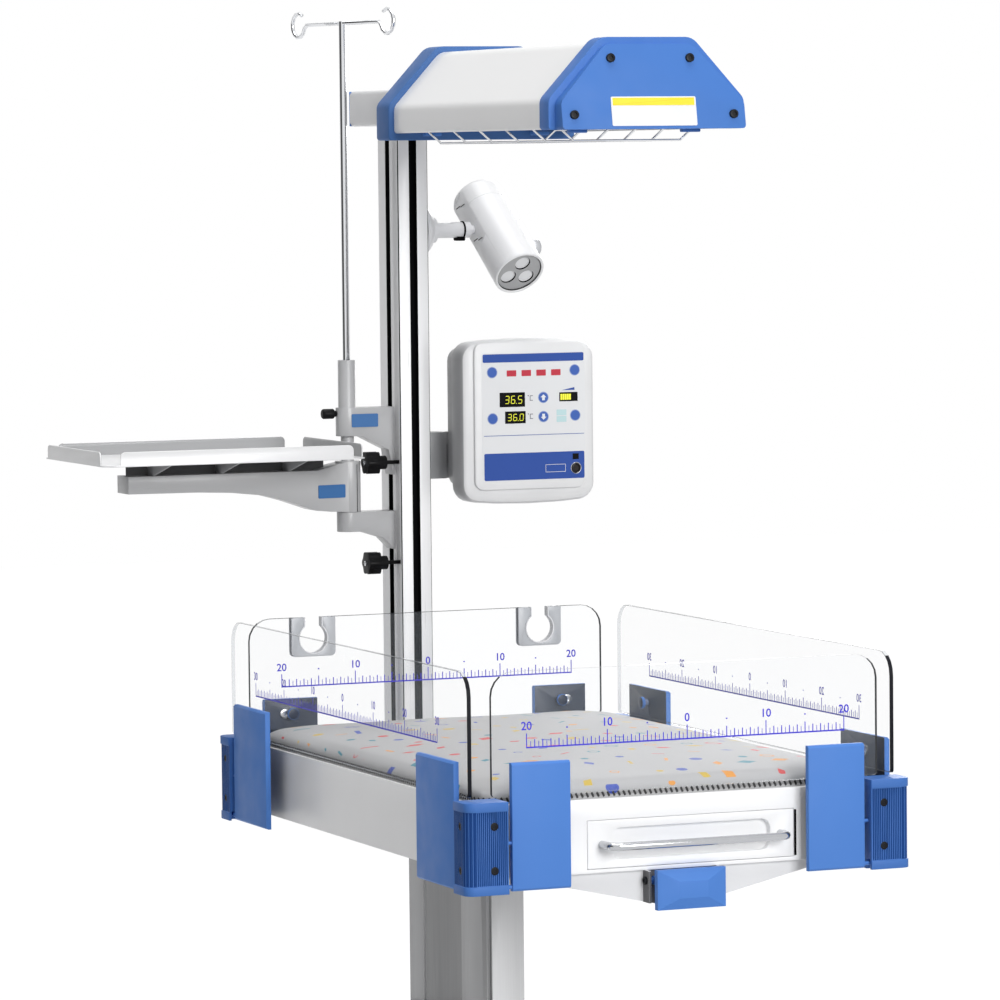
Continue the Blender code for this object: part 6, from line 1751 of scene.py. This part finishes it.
glow = node_in(floor_paint, "Emission", Color=(1, 1, 1, 1), Strength=floor_glow)
blend = node_in(floor_paint, "MixShader")
glow_share = math_node(floor_paint, "MULTIPLY", seen_directly(floor_paint), floor_glow_share)
wire(floor_paint, glow_share, blend.inputs["Fac"])
wire(floor_paint, shader_of(floor_paint).outputs["BSDF"], blend.inputs[1])
wire(floor_paint, glow.outputs["Emission"], blend.inputs[2])
wire(floor_paint, blend.outputs["Shader"], floor_paint.node_tree.nodes["Material Output"].inputs["Surface"])
dress(floor, floor_paint)

world_light = 0.24
world_seen = 1.0
key_watts, rear_watts = 412, 80
overhead_strength, overhead_spread = 2.05, math.radians(50)
overhead_way = Vector((0.10, 0.05, -1.0))
dark_panels = ((169.3, 0.70, 0.80, 0.90), (18.3, 0.92, 0.95, 0.60))
world = bpy.data.worlds.new("pale_world")
bpy.context.scene.world = world
world.use_nodes = True
background = world.node_tree.nodes["Background"]
background.inputs["Color"].default_value = (1, 1, 1, 1)
strength = node_in(world, "MapRange", To_Min=world_light, To_Max=world_seen)
wire(world, seen_directly(world), strength.inputs["Value"])
level = strength.outputs["Result"]
sky = node_in(world, "TexCoord")
shiny = node_in(world, "LightPath")
for azimuth, soft_edge, full, depth in dark_panels:
    towards = node_in(world, "VectorMath")
    towards.operation = "DOT_PRODUCT"
    turn = math.radians(azimuth)
    towards.inputs[1].default_value = (math.cos(turn), math.sin(turn), 0)
    wire(world, sky.outputs["Generated"], towards.inputs[0])
    shade = node_in(world, "MapRange", From_Min=soft_edge, From_Max=full, To_Min=0.0, To_Max=depth)
    wire(world, towards.outputs["Value"], shade.inputs["Value"])
    only = math_node(world, "MULTIPLY", shade.outputs["Result"], shiny.outputs["Is Glossy Ray"])
    level = math_node(world, "SUBTRACT", level, only)
wire(world, level, background.inputs["Strength"])


def soft_lamp(name, place, aim, size, watts):
    light = bpy.data.lights.new(name, "AREA")
    light.shape = "RECTANGLE"
    light.size, light.size_y = size
    light.energy = watts
    lamp_object = placed(name, light)
    lamp_object.location = place
    lamp_object.rotation_mode = "QUATERNION"
    lamp_object.rotation_quaternion = (Vector(aim) - Vector(place)).to_track_quat("-Z", "Y")


soft_lamp("key", (0.9, -8.0, 3.4), (0.1, -0.1, 1.1), (3.6, 3.0), key_watts)
soft_lamp("rear", (3.2, 4.2, 2.6), (0.1, 0.0, 1.1), (2.2, 2.2), rear_watts)
overhead = bpy.data.lights.new("overhead", "SUN")
overhead.energy = overhead_strength
overhead.angle = overhead_spread
overhead_object = placed("overhead", overhead)
overhead_object.rotation_mode = "QUATERNION"
overhead_object.rotation_quaternion = overhead_way.to_track_quat("-Z", "Y")

camera_place = (-2.4665, -6.0155, 1.661)
camera_azimuth = math.radians(-22.74)
camera_elevation = math.radians(3.64)
camera_roll = math.radians(-0.60)
sensor = 36.0
focal_pixels = 5336.6
picture_pixels = 1000
eye = bpy.data.cameras.new("camera")
eye.sensor_width = sensor
eye.lens = focal_pixels * sensor / picture_pixels
eye.clip_start, eye.clip_end = 0.1, 60
camera = placed("camera", eye)
back = Vector((math.sin(camera_azimuth) * math.cos(camera_elevation),
               -math.cos(camera_azimuth) * math.cos(camera_elevation), math.sin(camera_elevation)))
looking = (-back).to_track_quat("-Z", "Y").to_matrix().to_4x4()
camera.matrix_world = Matrix.Translation(camera_place) @ looking @ Matrix.Rotation(camera_roll, 4, "Z")
bpy.context.scene.camera = camera
bpy.context.scene.view_settings.view_transform = "Standard"

deselect()
